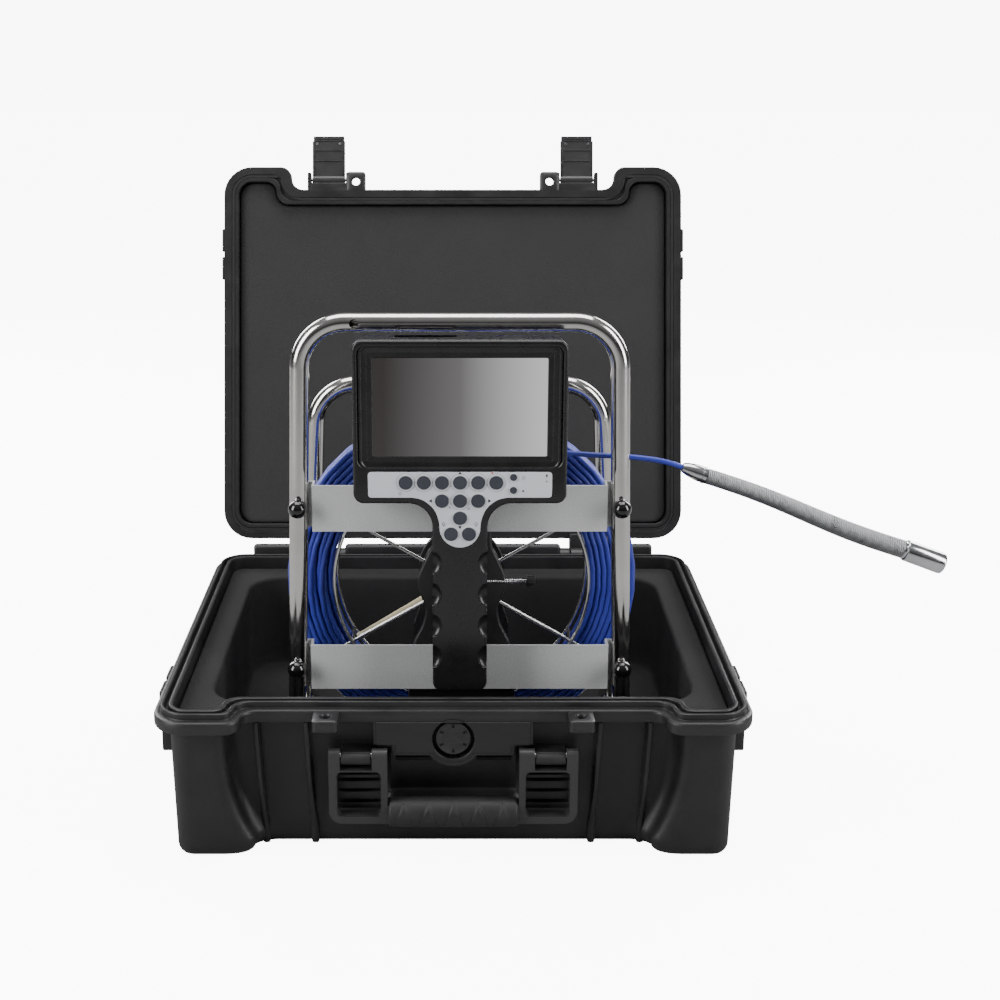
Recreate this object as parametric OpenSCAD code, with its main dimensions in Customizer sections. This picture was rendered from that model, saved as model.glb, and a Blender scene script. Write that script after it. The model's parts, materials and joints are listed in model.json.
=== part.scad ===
/* [Case] */
// Outside width of the case at its rim
case_w = 524; // [500:2:560]
// Outside length of the case at its rim, front to back
case_l = 426; // [400:2:450]
// Height of the base up to the top of its rim ridges
base_h = 142.5; // [138:0.5:150]
// Depth of the lid
lid_d = 62; // [50:1:80]
// Radius of the case corners, seen from above
corner_r = 32; // [28:1:40]
// How far the middle of the front is set back between the corner towers
recess_d = 26; // [22:1:30]
// Half the width of the flat part of the set-back front
recess_half = 172; // [165:1:180]
// Lid angle, from closed to its stop
lid_angle = 103.7; // [95:0.1:110]

/* [Foam] */
// Height of the pocket floor
pocket_z = 28; // [20:1:34]
// Height of the top of the base foam
foam_top = 130; // [120:1:134]
// Width of the pocket
pocket_w = 436; // [420:2:440]

/* [Reel frame] */
// Outside diameter of the frame tubes
tube_d = 17.5; // [15:0.5:18]
// Height of the centre of the front hoop's top bar
front_top = 460; // [440:2:480]
// Height of the centre of the rear hoop's top bar
rear_top = 373; // [365:1:390]
// Lean of the front legs away from upright, in degrees
front_splay = 1.5; // [0.5:0.1:2.5]
// Lean of the rear legs away from upright, in degrees
rear_splay = 2.3; // [0.5:0.1:3]
// Bend radius of the hoops at the tube centre
bend_r = 42; // [36:1:50]
// Half the distance between the side rails
foot_half = 154.4; // [152:0.2:158]
// Height of the middle of the upper cross plate
upper_z = 287; // [280:1:292]
// Height of the middle of the lower cross plate
lower_z = 131; // [126:1:136]
// Height of the cross plates
plate_h = 44; // [40:1:48]

/* [Reel] */
// Height of the reel axis
reel_z = 206; // [204:1:210]
// Radius of the wire rings
ring_r = 120; // [110:1:124]
// Diameter of the reel wire
wire_d = 3.5; // [3:0.1:4]
// Outer radius of the wound push cable
coil_r = 165; // [155:1:166]
// Push cable diameter
cable_d = 5; // [4.5:0.1:6]
// Radius of the reel hub
hub_r = 38; // [34:1:40]
// Diameter of the fixed axle
axle_d = 12; // [10:0.5:14]

/* [Camera head] */
// Diameter of the camera head
head_d = 20.4; // [18:0.2:24]
// Length of the camera head
head_l = 41; // [36:1:50]
// Length of the flexible spring
spring_l = 202; // [180:1:210]
// Diameter of the flexible spring
spring_d = 17.5; // [16:0.1:19]

/* [Monitor] */
// Width of the monitor housing
mon_w = 187.6; // [186:0.2:196]
// Height of the monitor housing without the grip
mon_h = 148; // [146:1:152]
// Width of the screen window
screen_w = 154; // [150:1:158]
// Height of the screen window
screen_h = 90; // [86:1:92]
// Width of the grip
grip_w = 49; // [46:1:54]
// Diameter of the round keys
key_d = 12.3; // [11:0.1:13]
// Distance between the round keys
key_pitch = 16.1; // [15:0.1:17]

/* [Hidden] */
$fn = 64;
run_gap = 0.05;

// Case outline: distances inwards from the outermost line of the rim
body_in = 13;
cavity_in = 17;
floor_in = 21;
foot_h = 8;
lip_bottom = 125;
lip_top = 136;
floor_t = 5;
front_y = -case_l / 2;
recess_y = front_y + recess_d;
wall_y = recess_y + body_in;
tower_r = recess_d / 2;
pocket_front = -153;
pocket_back = 165;
pocket_r = 35;

// Ribs, padlock tabs, latches and hinges
rib_t = 5;
rib_xs = [169.4, 127];
tab_x = 111;
tab_y = recess_y - 9.5;
tab_hole_r = 4.6;
latch_x = 142.4;
latch_w = 37;
latch_y = recess_y - 12;
latch_z = 150;
latch_l = 50;
pin_r = 2;
hinge_y = case_l / 2 + 18.4;
hinge_z = 131.4;
hinge_x = 150;
knuckle_r = 9;
hinge_pin_r = 3;
rim_gap = 0.5;
lid_z = base_h + rim_gap;
lid_wall = 4;

// Carrying handle and pressure valve
handle_half = 109.5;
handle_z = 95;
handle_y = recess_y - 1;
handle_bottom = 31.7;
handle_t = 12;
hand_half = 58;
lug_from = 72;
lug_to = 99;
ear_gap = 0.5;
handle_pin_r = 2.5;
grip_top = 53;
scoop_half = 62;
scoop_d = 10;
valve_z = 109.3;
valve_r = 18.2;
valve_knob_r = 15.1;
stem_r = 4;

// Reel frame
unit_x = 6;
front_y0 = -75;
rear_y0 = 55;
tube_r = tube_d / 2;
tube_wall = 1.5;
seam = 0.02;
weld_gap = 0.1;
rail_z = pocket_z + tube_r + 0.3;
plate_t = 2;
plate_y = front_y0 - 5;
tab_back = front_y0 + tube_r + 0.5;
strap_t = 3;
strap_w = 10;
strap_z = rail_z + tube_r;
front_strap_y = -66.5;
rear_strap_y = -16.5;
stud_r = 3;
ball_r = 8.5;
upper_knob_z = upper_z + 2.5;
lower_knob_z = lower_z + 1.5;
plate_end_gap = 3;
hang_hole_x = -88.6;
hang_hole_r = 4;

// Reel
reel_x = 8;
spoke_front = -52;
spoke_back = -24;
wire_r = wire_d / 2;
axle_r = axle_d / 2;
bush_r = 9;
hub_front = -55;
hub_back = -21;
coil_front = -49.7;
coil_back = -26.3;
coil_in = ring_r + 2.5;
housing_r = 41;
screw_y = -64.5;
screw_z = reel_z + 5;

// Free end of the push cable and the camera head
cable_route = [
    [22, -53, 349], [40, -54, 347], [60, -56, 343], [85, -58.5, 338], [106, -60, 334.5],
    [130, -60, 332.5], [160, -60, 331], [186, -60, 328], [203, -60, 324], [213, -60, 320.5]
];
cable_sides = 8;
head_slope = 20.9;
tail_l = 22;

// Monitor
mon_x = 6;
mon_front = -116.5;
mon_split = -102;
mon_back = -89;
mon_bottom = 303;
mon_wall = 2.5;
mon_r = 8;
grip_bottom = 123;
screen_z = 391;
screen_skirt = 3;
fascia_w = 164;
fascia_top = 333;
fascia_bottom = 309;
lobe_w = 35;
lobe_bottom = 262;
fascia_t = 1;
neck_fillet = 22;
key_r = key_d / 2;
small_key_r = 3.1;
key_gap = 0.25;
key_proud = 1.2;
key_depth = 7;
row_zs = [323, 306, 290, 275];
key_places = [
    for (i = [0:5]) [(i - 3) * key_pitch, row_zs[0]],
    for (i = [-1:1]) [i * key_pitch, row_zs[1]],
    [0, row_zs[2]],
    for (side = [-1, 1]) [side * key_pitch / 2, row_zs[3]]
];
side_key_places = [[47.5, 328], [47.5, 316]];

// Points along an arc, from angle a0 to a1
function arc(x, y, r, a0, a1, n = 10) = [for (i = [0:n]) let (a = a0 + (a1 - a0) * i / n) [x + r * cos(a), y + r * sin(a)]];
function turned(points) = [for (i = [len(points) - 1:-1:0]) [-points[i][0], points[i][1]]];

// One side of the front, from the middle of the recess round the tower to the rear corner
function half_outline(e) = let (
    w = case_w / 2 - e, l = case_l / 2 - e, r = max(corner_r - e, 4),
    level = front_y + tower_r, bend = tower_r + e, tip = tower_r - e,
    start = tip > 0 ? 0 : asin(-tip / bend))
    concat(
        arc(recess_half, level, bend, 90, start),
        tip > 0 ? arc(recess_half + 2 * tower_r, level, tip, 180, 270) : [],
        arc(w - r, r - l, r, 270, 360),
        arc(w - r, l - r, r, 0, 90));

// Outline of the case seen from above, drawn inwards by e
module footprint(e = 0) {
    polygon(concat(half_outline(e), turned(half_outline(e))));
}

module slab(z0, z1, e) {
    translate([0, 0, z0]) linear_extrude(z1 - z0) footprint(e);
}

module ring_slab(z0, z1, e_out, e_in) {
    translate([0, 0, z0]) linear_extrude(z1 - z0)
        difference() {
            footprint(e_out);
            footprint(e_in);
        }
}

// Cylinders along X and Y, starting at x0 or y0
module rod_x(x0, x1, y, z, r) {
    translate([x0, y, z]) rotate([0, 90, 0]) cylinder(r = r, h = x1 - x0);
}

module rod_y(x, y0, y1, z, r) {
    translate([x, y0, z]) rotate([-90, 0, 0]) cylinder(r = r, h = y1 - y0);
}

module block(x0, x1, y0, y1, z0, z1) {
    translate([x0, y0, z0]) cube([x1 - x0, y1 - y0, z1 - z0]);
}

module rounded(w, h, r) {
    square([w - 2 * r, h], center = true);
    square([w, h - 2 * r], center = true);
    for (sx = [-1, 1], sz = [-1, 1]) translate([sx * (w / 2 - r), sz * (h / 2 - r)]) circle(r);
}

// Extrudes a drawing of the XZ plane along Y, from y0 to y1
module upright(y0, y1) {
    translate([0, y1, 0]) rotate([90, 0, 0]) linear_extrude(y1 - y0) children();
}

// ---- Case base ----
module case_base() {
    color("#26272a") difference() {
        union() {
            slab(0, foot_h, cavity_in);
            slab(foot_h, lip_bottom, body_in);
            slab(lip_bottom, lip_top, 0);
            ring_slab(lip_top, base_h, 6, 9);
            ring_slab(lip_top, base_h, 13, cavity_in);
            rod_y(0, wall_y - 6, wall_y + 1, valve_z, valve_r);
        }
        slab(floor_t, foot_h + 6, floor_in);
        slab(foot_h + 4, base_h + 1, cavity_in);
        block(-scoop_half, scoop_half, wall_y - 1, wall_y + scoop_d, 46, 90);
        rod_y(0, wall_y - 8, cavity_y(), valve_z, stem_r + run_gap);
    }
    color("#26272a") scoop_wall();
}

function cavity_y() = recess_y + cavity_in + 1;

// The wall behind the hand scoop, pushed into the case
module scoop_wall() {
    t = cavity_in - body_in;
    difference() {
        block(-scoop_half - t, scoop_half + t, wall_y + t, wall_y + scoop_d + t, 46 - t, 90 + t);
        block(-scoop_half, scoop_half, wall_y, wall_y + scoop_d, 46, 90);
    }
}

// What stands out from the base: front ribs, handle lugs, padlock tabs and hinge knuckles
module rib(x) {
    translate([x + rib_t / 2, 0, 0]) rotate([0, -90, 0]) linear_extrude(rib_t)
        polygon([
            [lip_bottom, wall_y], [lip_bottom, wall_y - 13], [60, wall_y - 12],
            [38, wall_y - 9], [20, wall_y - 3], [foot_h, wall_y - 3], [foot_h, wall_y]
        ]);
}

module handle_lug(side) {
    x0 = side > 0 ? lug_from : -lug_to;
    x1 = x0 + lug_to - lug_from;
    rod_x(x0, x1, handle_y, handle_z, 6);
    block(x0, x1, handle_y, wall_y, handle_z - 2, handle_z + 6);
}

module base_hinge_knuckle(x) {
    rod_x(x - 10, x + 10, hinge_y, hinge_z, knuckle_r);
    block(x - 10, x + 10, case_l / 2, hinge_y, hinge_z - 6, hinge_z + 4);
}

module base_lugs() {
    color("#26272a") difference() {
        for (side = [-1, 1]) {
            for (x = rib_xs) rib(side * x);
            handle_lug(side);
            block(side * tab_x - 11, side * tab_x + 11, tab_y - 11, recess_y, lip_bottom, lip_top);
            for (dx = [-27, 27]) base_hinge_knuckle(side * hinge_x + dx);
        }
        for (side = [-1, 1]) {
            translate([side * tab_x, tab_y, lip_bottom - 1]) cylinder(r = tab_hole_r, h = 14);
            rod_x(side * hinge_x - 40, side * hinge_x + 40, hinge_y, hinge_z, hinge_pin_r);
            rod_x(side * 85 - 16, side * 85 + 16, handle_y, handle_z, handle_pin_r);
        }
    }
}

module base_foam() {
    clear = 0.5;
    color("#232325") difference() {
        union() {
            slab(floor_t + 0.3, foot_h + 5, floor_in + clear);
            slab(foot_h + 4.3, foam_top, cavity_in + clear);
        }
        translate([0, (pocket_front + pocket_back) / 2, pocket_z]) linear_extrude(foam_top)
            rounded(pocket_w, pocket_back - pocket_front, pocket_r);
        block(-scoop_half - 5, scoop_half + 5, wall_y, wall_y + scoop_d + 4.5, 41, 95);
    }
}

module pivot_pins() {
    color("#b9bcbf") for (side = [-1, 1]) {
        rod_x(side * hinge_x - 37, side * hinge_x + 37, hinge_y, hinge_z, hinge_pin_r);
        rod_x(side > 0 ? 60 : -109, side > 0 ? 109 : -60, handle_y, handle_z, handle_pin_r);
    }
}

// ---- Lid, drawn closed and then swung open ----
module swung_open() {
    translate([0, hinge_y, hinge_z]) rotate([-lid_angle, 0, 0])
        translate([0, -hinge_y, -hinge_z]) children();
}

module lid_knuckle(x) {
    rod_x(x - 16.5, x + 16.5, hinge_y, hinge_z, knuckle_r);
    block(x - 16.5, x + 16.5, case_l / 2 + 1, hinge_y, hinge_z + 5, lid_z + 9);
    block(x - 16.5, x + 16.5, case_l / 2 - 4, hinge_y - 5, lid_z, lid_z + 9);
}

module latch_cheeks(side) {
    edge = recess_y + 4;
    for (dx = [-22, 22])
        block(side * latch_x + dx - 2, side * latch_x + dx + 2, latch_y - 7, edge, lid_z, lid_z + 12);
    block(side * tab_x - 10, side * tab_x + 10, tab_y - 11, edge, lid_z, lid_z + 8);
}

module case_lid() {
    color("#26272a") swung_open() difference() {
        union() {
            slab(lid_z, lid_z + 12, 0);
            slab(lid_z + 12, base_h + lid_d - 8, 6);
            slab(base_h + lid_d - 8, base_h + lid_d, 12);
            for (side = [-1, 1]) {
                lid_knuckle(side * hinge_x);
                latch_cheeks(side);
                block(side * case_w / 2 - 3, side * case_w / 2 + 3, -140, -80, lid_z, lid_z + 10);
            }
        }
        slab(lid_z - 1, base_h + lid_d - lid_wall, cavity_in);
        ring_slab(lid_z - 1, lid_z + 4, 9, 12.5);
        for (side = [-1, 1]) {
            translate([side * tab_x, tab_y, lid_z - 1]) cylinder(r = tab_hole_r, h = 12);
            rod_x(side * hinge_x - 20, side * hinge_x + 20, hinge_y, hinge_z, hinge_pin_r + run_gap);
            rod_x(side * latch_x - 26, side * latch_x + 26, latch_y, latch_z, pin_r);
        }
    }
}

module lid_seal() {
    color("#111113") swung_open() ring_slab(lid_z + 0.5, lid_z + 4, 9.3, 12.2);
}

module lid_foam() {
    color("#333335") swung_open() slab(lid_z + 8, base_h + lid_d - lid_wall - 0.3, cavity_in + 0.5);
}

module latch_pins() {
    color("#b9bcbf") swung_open() for (side = [-1, 1])
        rod_x(side * latch_x - 24, side * latch_x + 24, latch_y, latch_z, pin_r);
}

module latch(side) {
    x = side * latch_x;
    half = latch_w / 2;
    color("#1d1e20") swung_open() difference() {
        union() {
            rod_x(x - half, x + half, latch_y, latch_z, 5);
            block(x - half, x + half, latch_y - latch_l + 6, latch_y, latch_z - 3, latch_z + 3);
            block(x - half + 1, x + half - 1, latch_y - latch_l, latch_y - latch_l + 8, latch_z - 1, latch_z + 6);
        }
        block(x - 12, x + 12, latch_y - 24, latch_y - 10, latch_z - 1, latch_z + 4);
        rod_x(x - half - 1, x + half + 1, latch_y, latch_z, pin_r + run_gap);
    }
}

module latch_left() {
    latch(-1);
}

module latch_right() {
    latch(1);
}

// ---- Carrying handle ----
module handle_outline() {
    mid = (handle_bottom + handle_z) / 2;
    difference() {
        union() {
            translate([0, mid]) square([2 * handle_half, handle_z - handle_bottom - 24], center = true);
            translate([0, handle_bottom + 6]) square([2 * handle_half - 24, 12], center = true);
            translate([0, handle_z - 6]) square([2 * handle_half, 12], center = true);
            for (side = [-1, 1]) translate([side * (handle_half - 12), handle_bottom + 12]) circle(12);
        }
        translate([-hand_half, grip_top - 4]) square([2 * hand_half, 60]);
        for (side = [-1, 1])
            translate([side * 83.1, 60]) rounded(38.8, 43, 4);
        for (side = [-1, 1])
            translate([side * 85.5 - 13.5 - ear_gap, 83]) square([27 + 2 * ear_gap, 30]);
    }
}

module carry_handle() {
    color("#222326") difference() {
        union() {
            upright(handle_y - handle_t / 2, handle_y + handle_t / 2) handle_outline();
            for (side = [-1, 1]) {
                rod_x(side > 0 ? lug_to + ear_gap : -handle_half, side > 0 ? handle_half : -lug_to - ear_gap,
                    handle_y, handle_z, handle_t / 2);
                rod_x(side > 0 ? hand_half : -lug_from + ear_gap, side > 0 ? lug_from - ear_gap : -hand_half,
                    handle_y, handle_z, handle_t / 2);
            }
        }
        for (side = [-1, 1])
            rod_x(side * 85 - 28, side * 85 + 28, handle_y, handle_z, handle_pin_r + run_gap);
    }
}

module handle_grip() {
    bar = grip_top - 4 - handle_bottom;
    color("#1b1c1e") difference() {
        rod_x(-hand_half + 1, hand_half - 1, handle_y, handle_bottom + bar / 2, 13);
        block(-60, 60, handle_y - handle_t / 2, handle_y + handle_t / 2, handle_bottom, grip_top - 4);
    }
}

module valve_knob() {
    color("#18191b") difference() {
        union() {
            rod_y(0, wall_y - 10.3, wall_y - 6.3, valve_z, valve_knob_r);
            rod_y(0, wall_y - 7, wall_y + 2, valve_z, stem_r);
        }
        for (a = [0:60:300])
            translate([0, wall_y - 10.8, valve_z]) rotate([0, a, 0]) translate([-1, 0, 10])
                cube([2, 1.5, 3.5]);
    }
}

// ---- Reel frame ----
function leg_half(z, splay) = foot_half - (z - rail_z) * tan(splay);

module tube_profile() {
    difference() {
        circle(tube_r);
        circle(tube_r - tube_wall);
    }
}

// A bent tube hoop, standing on the side rails at depth y: a top bar, two bends and two legs
module hoop(y, top, splay) {
    bend_z = top - bend_r;
    end_z = bend_z + bend_r * sin(splay);
    bend_x = leg_half(end_z, splay) - bend_r * cos(splay);
    leg_l = (end_z - rail_z) / cos(splay);
    translate([unit_x, y, 0]) {
        translate([seam - bend_x, 0, top]) rotate([0, 90, 0])
            linear_extrude(2 * (bend_x - seam)) tube_profile();
        for (side = [0, 1]) mirror([side, 0, 0]) {
            translate([bend_x, 0, bend_z]) rotate([90, 0, 0]) rotate([0, 0, splay])
                rotate_extrude(angle = 90 - splay) translate([bend_r, 0]) tube_profile();
            translate([leg_half(end_z, splay), 0, end_z]) rotate([0, 180 - splay, 0])
                translate([0, 0, seam]) linear_extrude(leg_l) tube_profile();
        }
    }
}

module rail_space(grow = 0) {
    for (side = [-1, 1])
        rod_y(unit_x + side * foot_half, front_y0 - 12, rear_y0 + 12, rail_z, tube_r + grow);
}

module front_frame() {
    color("#cfd2d4") difference() {
        hoop(front_y0, front_top, front_splay);
        rail_space(weld_gap);
        for (side = [-1, 1], z = [upper_knob_z, lower_knob_z])
            rod_y(unit_x + side * leg_half(z, front_splay), front_y0 - 12, front_y0 + 12, z, stud_r + run_gap);
        rod_y(hang_hole_x, front_y0 - 12, front_y0, front_top, hang_hole_r);
    }
}

module rear_frame() {
    color("#c6c9cb") difference() {
        hoop(rear_y0, rear_top, rear_splay);
        rail_space(weld_gap);
    }
}

module frame_rails() {
    color("#c2c5c7") {
        rail_space();
        for (y = [front_strap_y, rear_strap_y])
            block(unit_x - foot_half, unit_x + foot_half, y, y + strap_w, strap_z, strap_z + strap_t);
    }
}

// A sheet metal cross plate with folded ends that reach round behind the tubes
module cross_plate(z, knob_z) {
    half = leg_half(z + plate_h / 2, front_splay) - tube_r - plate_end_gap;
    z0 = z - plate_h / 2;
    leg_x = leg_half(knob_z, front_splay);
    color("#c9cdcd") translate([unit_x, 0, 0]) {
        block(-half, half, plate_y, plate_y + plate_t, z0, z0 + plate_h);
        for (side = [0, 1]) mirror([side, 0, 0]) difference() {
            union() {
                block(half - plate_t, half, plate_y + plate_t, tab_back, z0, z0 + plate_h);
                block(half - plate_t, leg_x + 7, tab_back, tab_back + plate_t, z0, z0 + plate_h);
                rod_y(leg_x, tab_back + plate_t, tab_back + plate_t + 3.5, knob_z, 5.5);
            }
            rod_y(leg_x, tab_back - 1, tab_back + 8, knob_z, stud_r + run_gap);
        }
    }
}

module upper_plate() {
    cross_plate(upper_z, upper_knob_z);
}

module lower_plate() {
    cross_plate(lower_z, lower_knob_z);
}

module ball_knob(side, z) {
    x = unit_x + side * leg_half(z, front_splay);
    color("#0f1012") {
        translate([x, front_y0 - tube_r - ball_r - 0.3, z]) sphere(ball_r);
        rod_y(x, front_y0 - tube_r - ball_r, tab_back + plate_t + 5, z, stud_r);
    }
}

module knob_upper_left() {
    ball_knob(-1, upper_knob_z);
}

module knob_upper_right() {
    ball_knob(1, upper_knob_z);
}

module knob_lower_left() {
    ball_knob(-1, lower_knob_z);
}

module knob_lower_right() {
    ball_knob(1, lower_knob_z);
}

module axle() {
    color("#9da1a4") rod_y(reel_x, -72, 24, reel_z, axle_r);
}

module pedestal_outline() {
    foot = strap_z + strap_t;
    polygon([[-46, foot], [46, foot], [46, 148], [36, 180], [-36, 180], [-46, 148]]);
}

module front_pedestal() {
    y1 = -58.5;
    color("#1c1d1f") difference() {
        union() {
            translate([reel_x, 0, 0]) upright(-66, y1) pedestal_outline();
            rod_y(reel_x, -70, y1, reel_z, housing_r);
        }
        rod_y(reel_x, -75, y1 + 1, reel_z, axle_r);
        rod_x(reel_x + 12, reel_x + 45, screw_y, screw_z, stud_r + run_gap);
    }
}

module rear_pedestal() {
    color("#1c1d1f") difference() {
        union() {
            translate([reel_x, 0, 0]) upright(-16, -8) pedestal_outline();
            rod_y(reel_x, -16, -8, reel_z, housing_r);
        }
        rod_y(reel_x, -20, 0, reel_z, axle_r);
    }
}

module slip_ring() {
    color("#2b2d30") difference() {
        union() {
            rod_y(reel_x, -8, 20, reel_z, 20);
            rod_y(reel_x, 12, 16, reel_z, 22);
            translate([reel_x, 4, reel_z + 18]) cylinder(r = 6, h = 12);
        }
        rod_y(reel_x, -9, 21, reel_z, axle_r);
        translate([reel_x, 4, reel_z + 24]) cylinder(r = 4, h = 10);
    }
}

module brake_screw() {
    color("#c8cbcd") rod_x(reel_x + 16, 70, screw_y, screw_z, stud_r);
    color("#141517") rod_x(69, 77, screw_y, screw_z, 6);
}

// ---- Reel ----
module reel_hub() {
    color("#1a1b1d") difference() {
        union() {
            rod_y(reel_x, hub_front, hub_back, reel_z, hub_r - 4);
            for (y = [spoke_front, spoke_back]) rod_y(reel_x, y - 3, y + 3, reel_z, hub_r);
        }
        rod_y(reel_x, hub_front - 1, hub_back + 1, reel_z, bush_r);
    }
}

module hub_bushes() {
    color("#b08d57") for (m = [0, 1]) translate([0, hub_front + hub_back, 0] * m) mirror([0, m, 0])
        difference() {
            union() {
                rod_y(reel_x, hub_front, hub_front + 12, reel_z, bush_r);
                rod_y(reel_x, hub_front - 2.5, hub_front, reel_z, bush_r + 4);
            }
            rod_y(reel_x, hub_front - 3, hub_front + 13, reel_z, axle_r + run_gap);
        }
}

module wire_ring(y) {
    translate([reel_x, y, reel_z]) rotate([90, 0, 0]) rotate_extrude() translate([ring_r, 0]) circle(wire_r, $fn = 32);
}

// The two wire rings and the six bars that join them
module reel_rings() {
    touch = wire_d + 0.02;
    color("#cfd1d3") {
        wire_ring(spoke_front - touch);
        wire_ring(spoke_back + touch);
        for (a = [30:60:330])
            translate([reel_x + ring_r * cos(a), 0, reel_z + ring_r * sin(a)])
                rod_y(0, spoke_front + wire_r + 0.02, spoke_back - wire_r - 0.02, 0, wire_r, $fn = 32);
    }
}

module reel_spokes() {
    color("#cfd1d3") for (a = [30:60:330])
        translate([reel_x, spoke_front, reel_z]) rotate([0, 90 - a, 0]) translate([0, 0, hub_r + 0.02])
            cylinder(r = wire_r, h = coil_r + 3 - hub_r, $fn = 32);
}

module lead_in_tube() {
    color("#c8bd9a") translate([reel_x, -38, reel_z]) rotate([0, -122, 0]) translate([0, 0, hub_r - 3.9])
        difference() {
            cylinder(r = 3.5, h = ring_r - hub_r + 1, $fn = 32);
            translate([0, 0, 4]) cylinder(r = 2.6, h = ring_r, $fn = 32);
        }
}

module cable_coil() {
    color("#3f48b5") translate([reel_x, 0, reel_z]) rotate([90, 0, 0]) rotate_extrude($fn = 96)
        translate([(coil_in + coil_r) / 2, -(coil_front + coil_back) / 2])
            rounded(coil_r - coil_in, coil_back - coil_front, 4);
}

// ---- Free end of the cable ----
function unit(v) = v / norm(v);
function along(p, i) = unit(p[min(i + 1, len(p) - 1)] - p[max(i - 1, 0)]);
function smooth_at(p, i, t) = let (
    a = p[max(i - 1, 0)], b = p[i], c = p[i + 1], d = p[min(i + 2, len(p) - 1)])
    0.5 * (2 * b + (c - a) * t + (2 * a - 5 * b + 4 * c - d) * t * t + (3 * b - a - 3 * c + d) * t * t * t);
function smooth(p, n) = concat(
    [for (i = [0:len(p) - 2], k = [0:n - 1]) smooth_at(p, i, k / n)], [p[len(p) - 1]]);

// Sweeps a round tube along the points
module tube_along(points, r, sides) {
    rings = [for (i = [0:len(points) - 1])
        let (d = along(points, i), u = unit(cross(d, [0, 1, 0])), v = cross(d, u))
        for (k = [0:sides - 1]) points[i] + r * (cos(k * 360 / sides) * u + sin(k * 360 / sides) * v)];
    n = len(points);
    faces = concat(
        [[for (k = [0:sides - 1]) sides - 1 - k]],
        [for (i = [0:n - 2], k = [0:sides - 1])
            [i * sides + k, i * sides + (k + 1) % sides, (i + 1) * sides + (k + 1) % sides, (i + 1) * sides + k]],
        [[for (k = [0:sides - 1]) (n - 1) * sides + k]]);
    polyhedron(rings, faces);
}

module cable_lead() {
    color("#3f48b5") tube_along(smooth(cable_route, 2), cable_d / 2, cable_sides);
}

// Places a piece on the axis of the camera head, s along from the end of the cable
module on_head_axis(s) {
    translate(cable_route[len(cable_route) - 1]) rotate([0, 90 + head_slope, 0]) translate([0, 0, s]) children();
}

module head_tail() {
    color("#c4c7c9") on_head_axis(0.1) {
        cylinder(r1 = 4, r2 = 7.4, h = tail_l - 6);
        translate([0, 0, tail_l - 6]) cylinder(r = 7.6, h = 6);
    }
}

module head_spring() {
    color("#a9acae") on_head_axis(tail_l + 0.1) difference() {
        cylinder(r = spring_d / 2, h = spring_l);
        translate([0, 0, -1]) cylinder(r = spring_d / 2 - 2, h = spring_l + 2);
    }
}

module head_body() {
    color("#c8cbcd") on_head_axis(tail_l + spring_l + 0.1) difference() {
        cylinder(r = head_d / 2, h = head_l);
        translate([0, 0, 30]) cylinder(r = head_d / 2 - 1.2, h = head_l);
        translate([0, 0, 4]) cylinder(r = head_d / 2 - 3, h = head_l);
    }
}

module led_ring() {
    color("#e9e7d8") on_head_axis(tail_l + spring_l + 30.2) difference() {
        cylinder(r = head_d / 2 - 1.3, h = 6);
        translate([0, 0, -1]) cylinder(r = 4.5, h = 8);
    }
}

module head_lens() {
    color("#1b2430") on_head_axis(tail_l + spring_l + 30.2) {
        cylinder(r = 4.4, h = 6.4);
        translate([0, 0, 6.5]) cylinder(r = head_d / 2 - 1.3, h = 2.6);
    }
}

// ---- Monitor ----
module monitor_outline(e = 0) {
    neck_half = grip_w / 2 - e;
    translate([mon_x, mon_bottom + mon_h / 2]) rounded(mon_w - 2 * e, mon_h - 2 * e, mon_r - e);
    translate([mon_x, (grip_bottom + mon_bottom + 20) / 2]) rounded(2 * neck_half, mon_bottom + 20 - grip_bottom - 2 * e, 6);
    for (side = [0, 1]) translate([mon_x, 0]) mirror([side, 0]) difference() {
        translate([neck_half - 1, mon_bottom + e - neck_fillet]) square([neck_fillet + 1, neck_fillet + 1]);
        translate([neck_half + neck_fillet, mon_bottom + e - neck_fillet]) circle(neck_fillet);
    }
}

module fascia_outline(e = 0) {
    band = fascia_top - fascia_bottom;
    half = lobe_w / 2 - e;
    translate([mon_x, fascia_bottom + band / 2]) rounded(fascia_w - 2 * e, band - 2 * e, 3);
    translate([mon_x - half, lobe_bottom + lobe_w / 2]) square([2 * half, fascia_bottom - lobe_bottom]);
    translate([mon_x, lobe_bottom + lobe_w / 2]) circle(half);
    for (side = [0, 1]) translate([mon_x, 0]) mirror([side, 0]) difference() {
        translate([half - 1, fascia_bottom + e - 16]) square([17, 17]);
        translate([half + 16, fascia_bottom + e - 16]) circle(16);
    }
}

module key_holes(y0, y1) {
    for (p = key_places) rod_y(mon_x + p[0], y0, y1, p[1], key_r + key_gap);
    for (p = side_key_places) rod_y(mon_x + p[0], y0, y1, p[1], small_key_r + key_gap);
}

module front_housing() {
    color("#17181a") difference() {
        upright(mon_front, mon_split) monitor_outline();
        upright(mon_front + mon_wall, mon_split + 1) monitor_outline(mon_wall);
        translate([mon_x, 0, 0]) upright(mon_front - 1, mon_front + 5)
            translate([0, screen_z]) square([screen_w, screen_h], center = true);
        upright(mon_front - 1, mon_front + fascia_t) fascia_outline();
        key_holes(mon_front - 1, mon_front + 5);
    }
}

module rear_housing() {
    hook_x = mon_x - 20;
    plate_top = upper_z + plate_h / 2;
    color("#17181a") difference() {
        union() {
            difference() {
                upright(mon_split, mon_back) monitor_outline();
                upright(mon_split - 1, mon_back - mon_wall) monitor_outline(mon_wall);
            }
            block(hook_x, hook_x + 40, mon_back - 1, -73, plate_top + 1, plate_top + 5);
            block(hook_x, hook_x + 40, -76, -73, plate_top - 13, plate_top + 5);
        }
        screw_places() rod_y(0, mon_split - 1, mon_back + 1, 0, 1.5);
    }
}

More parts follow.
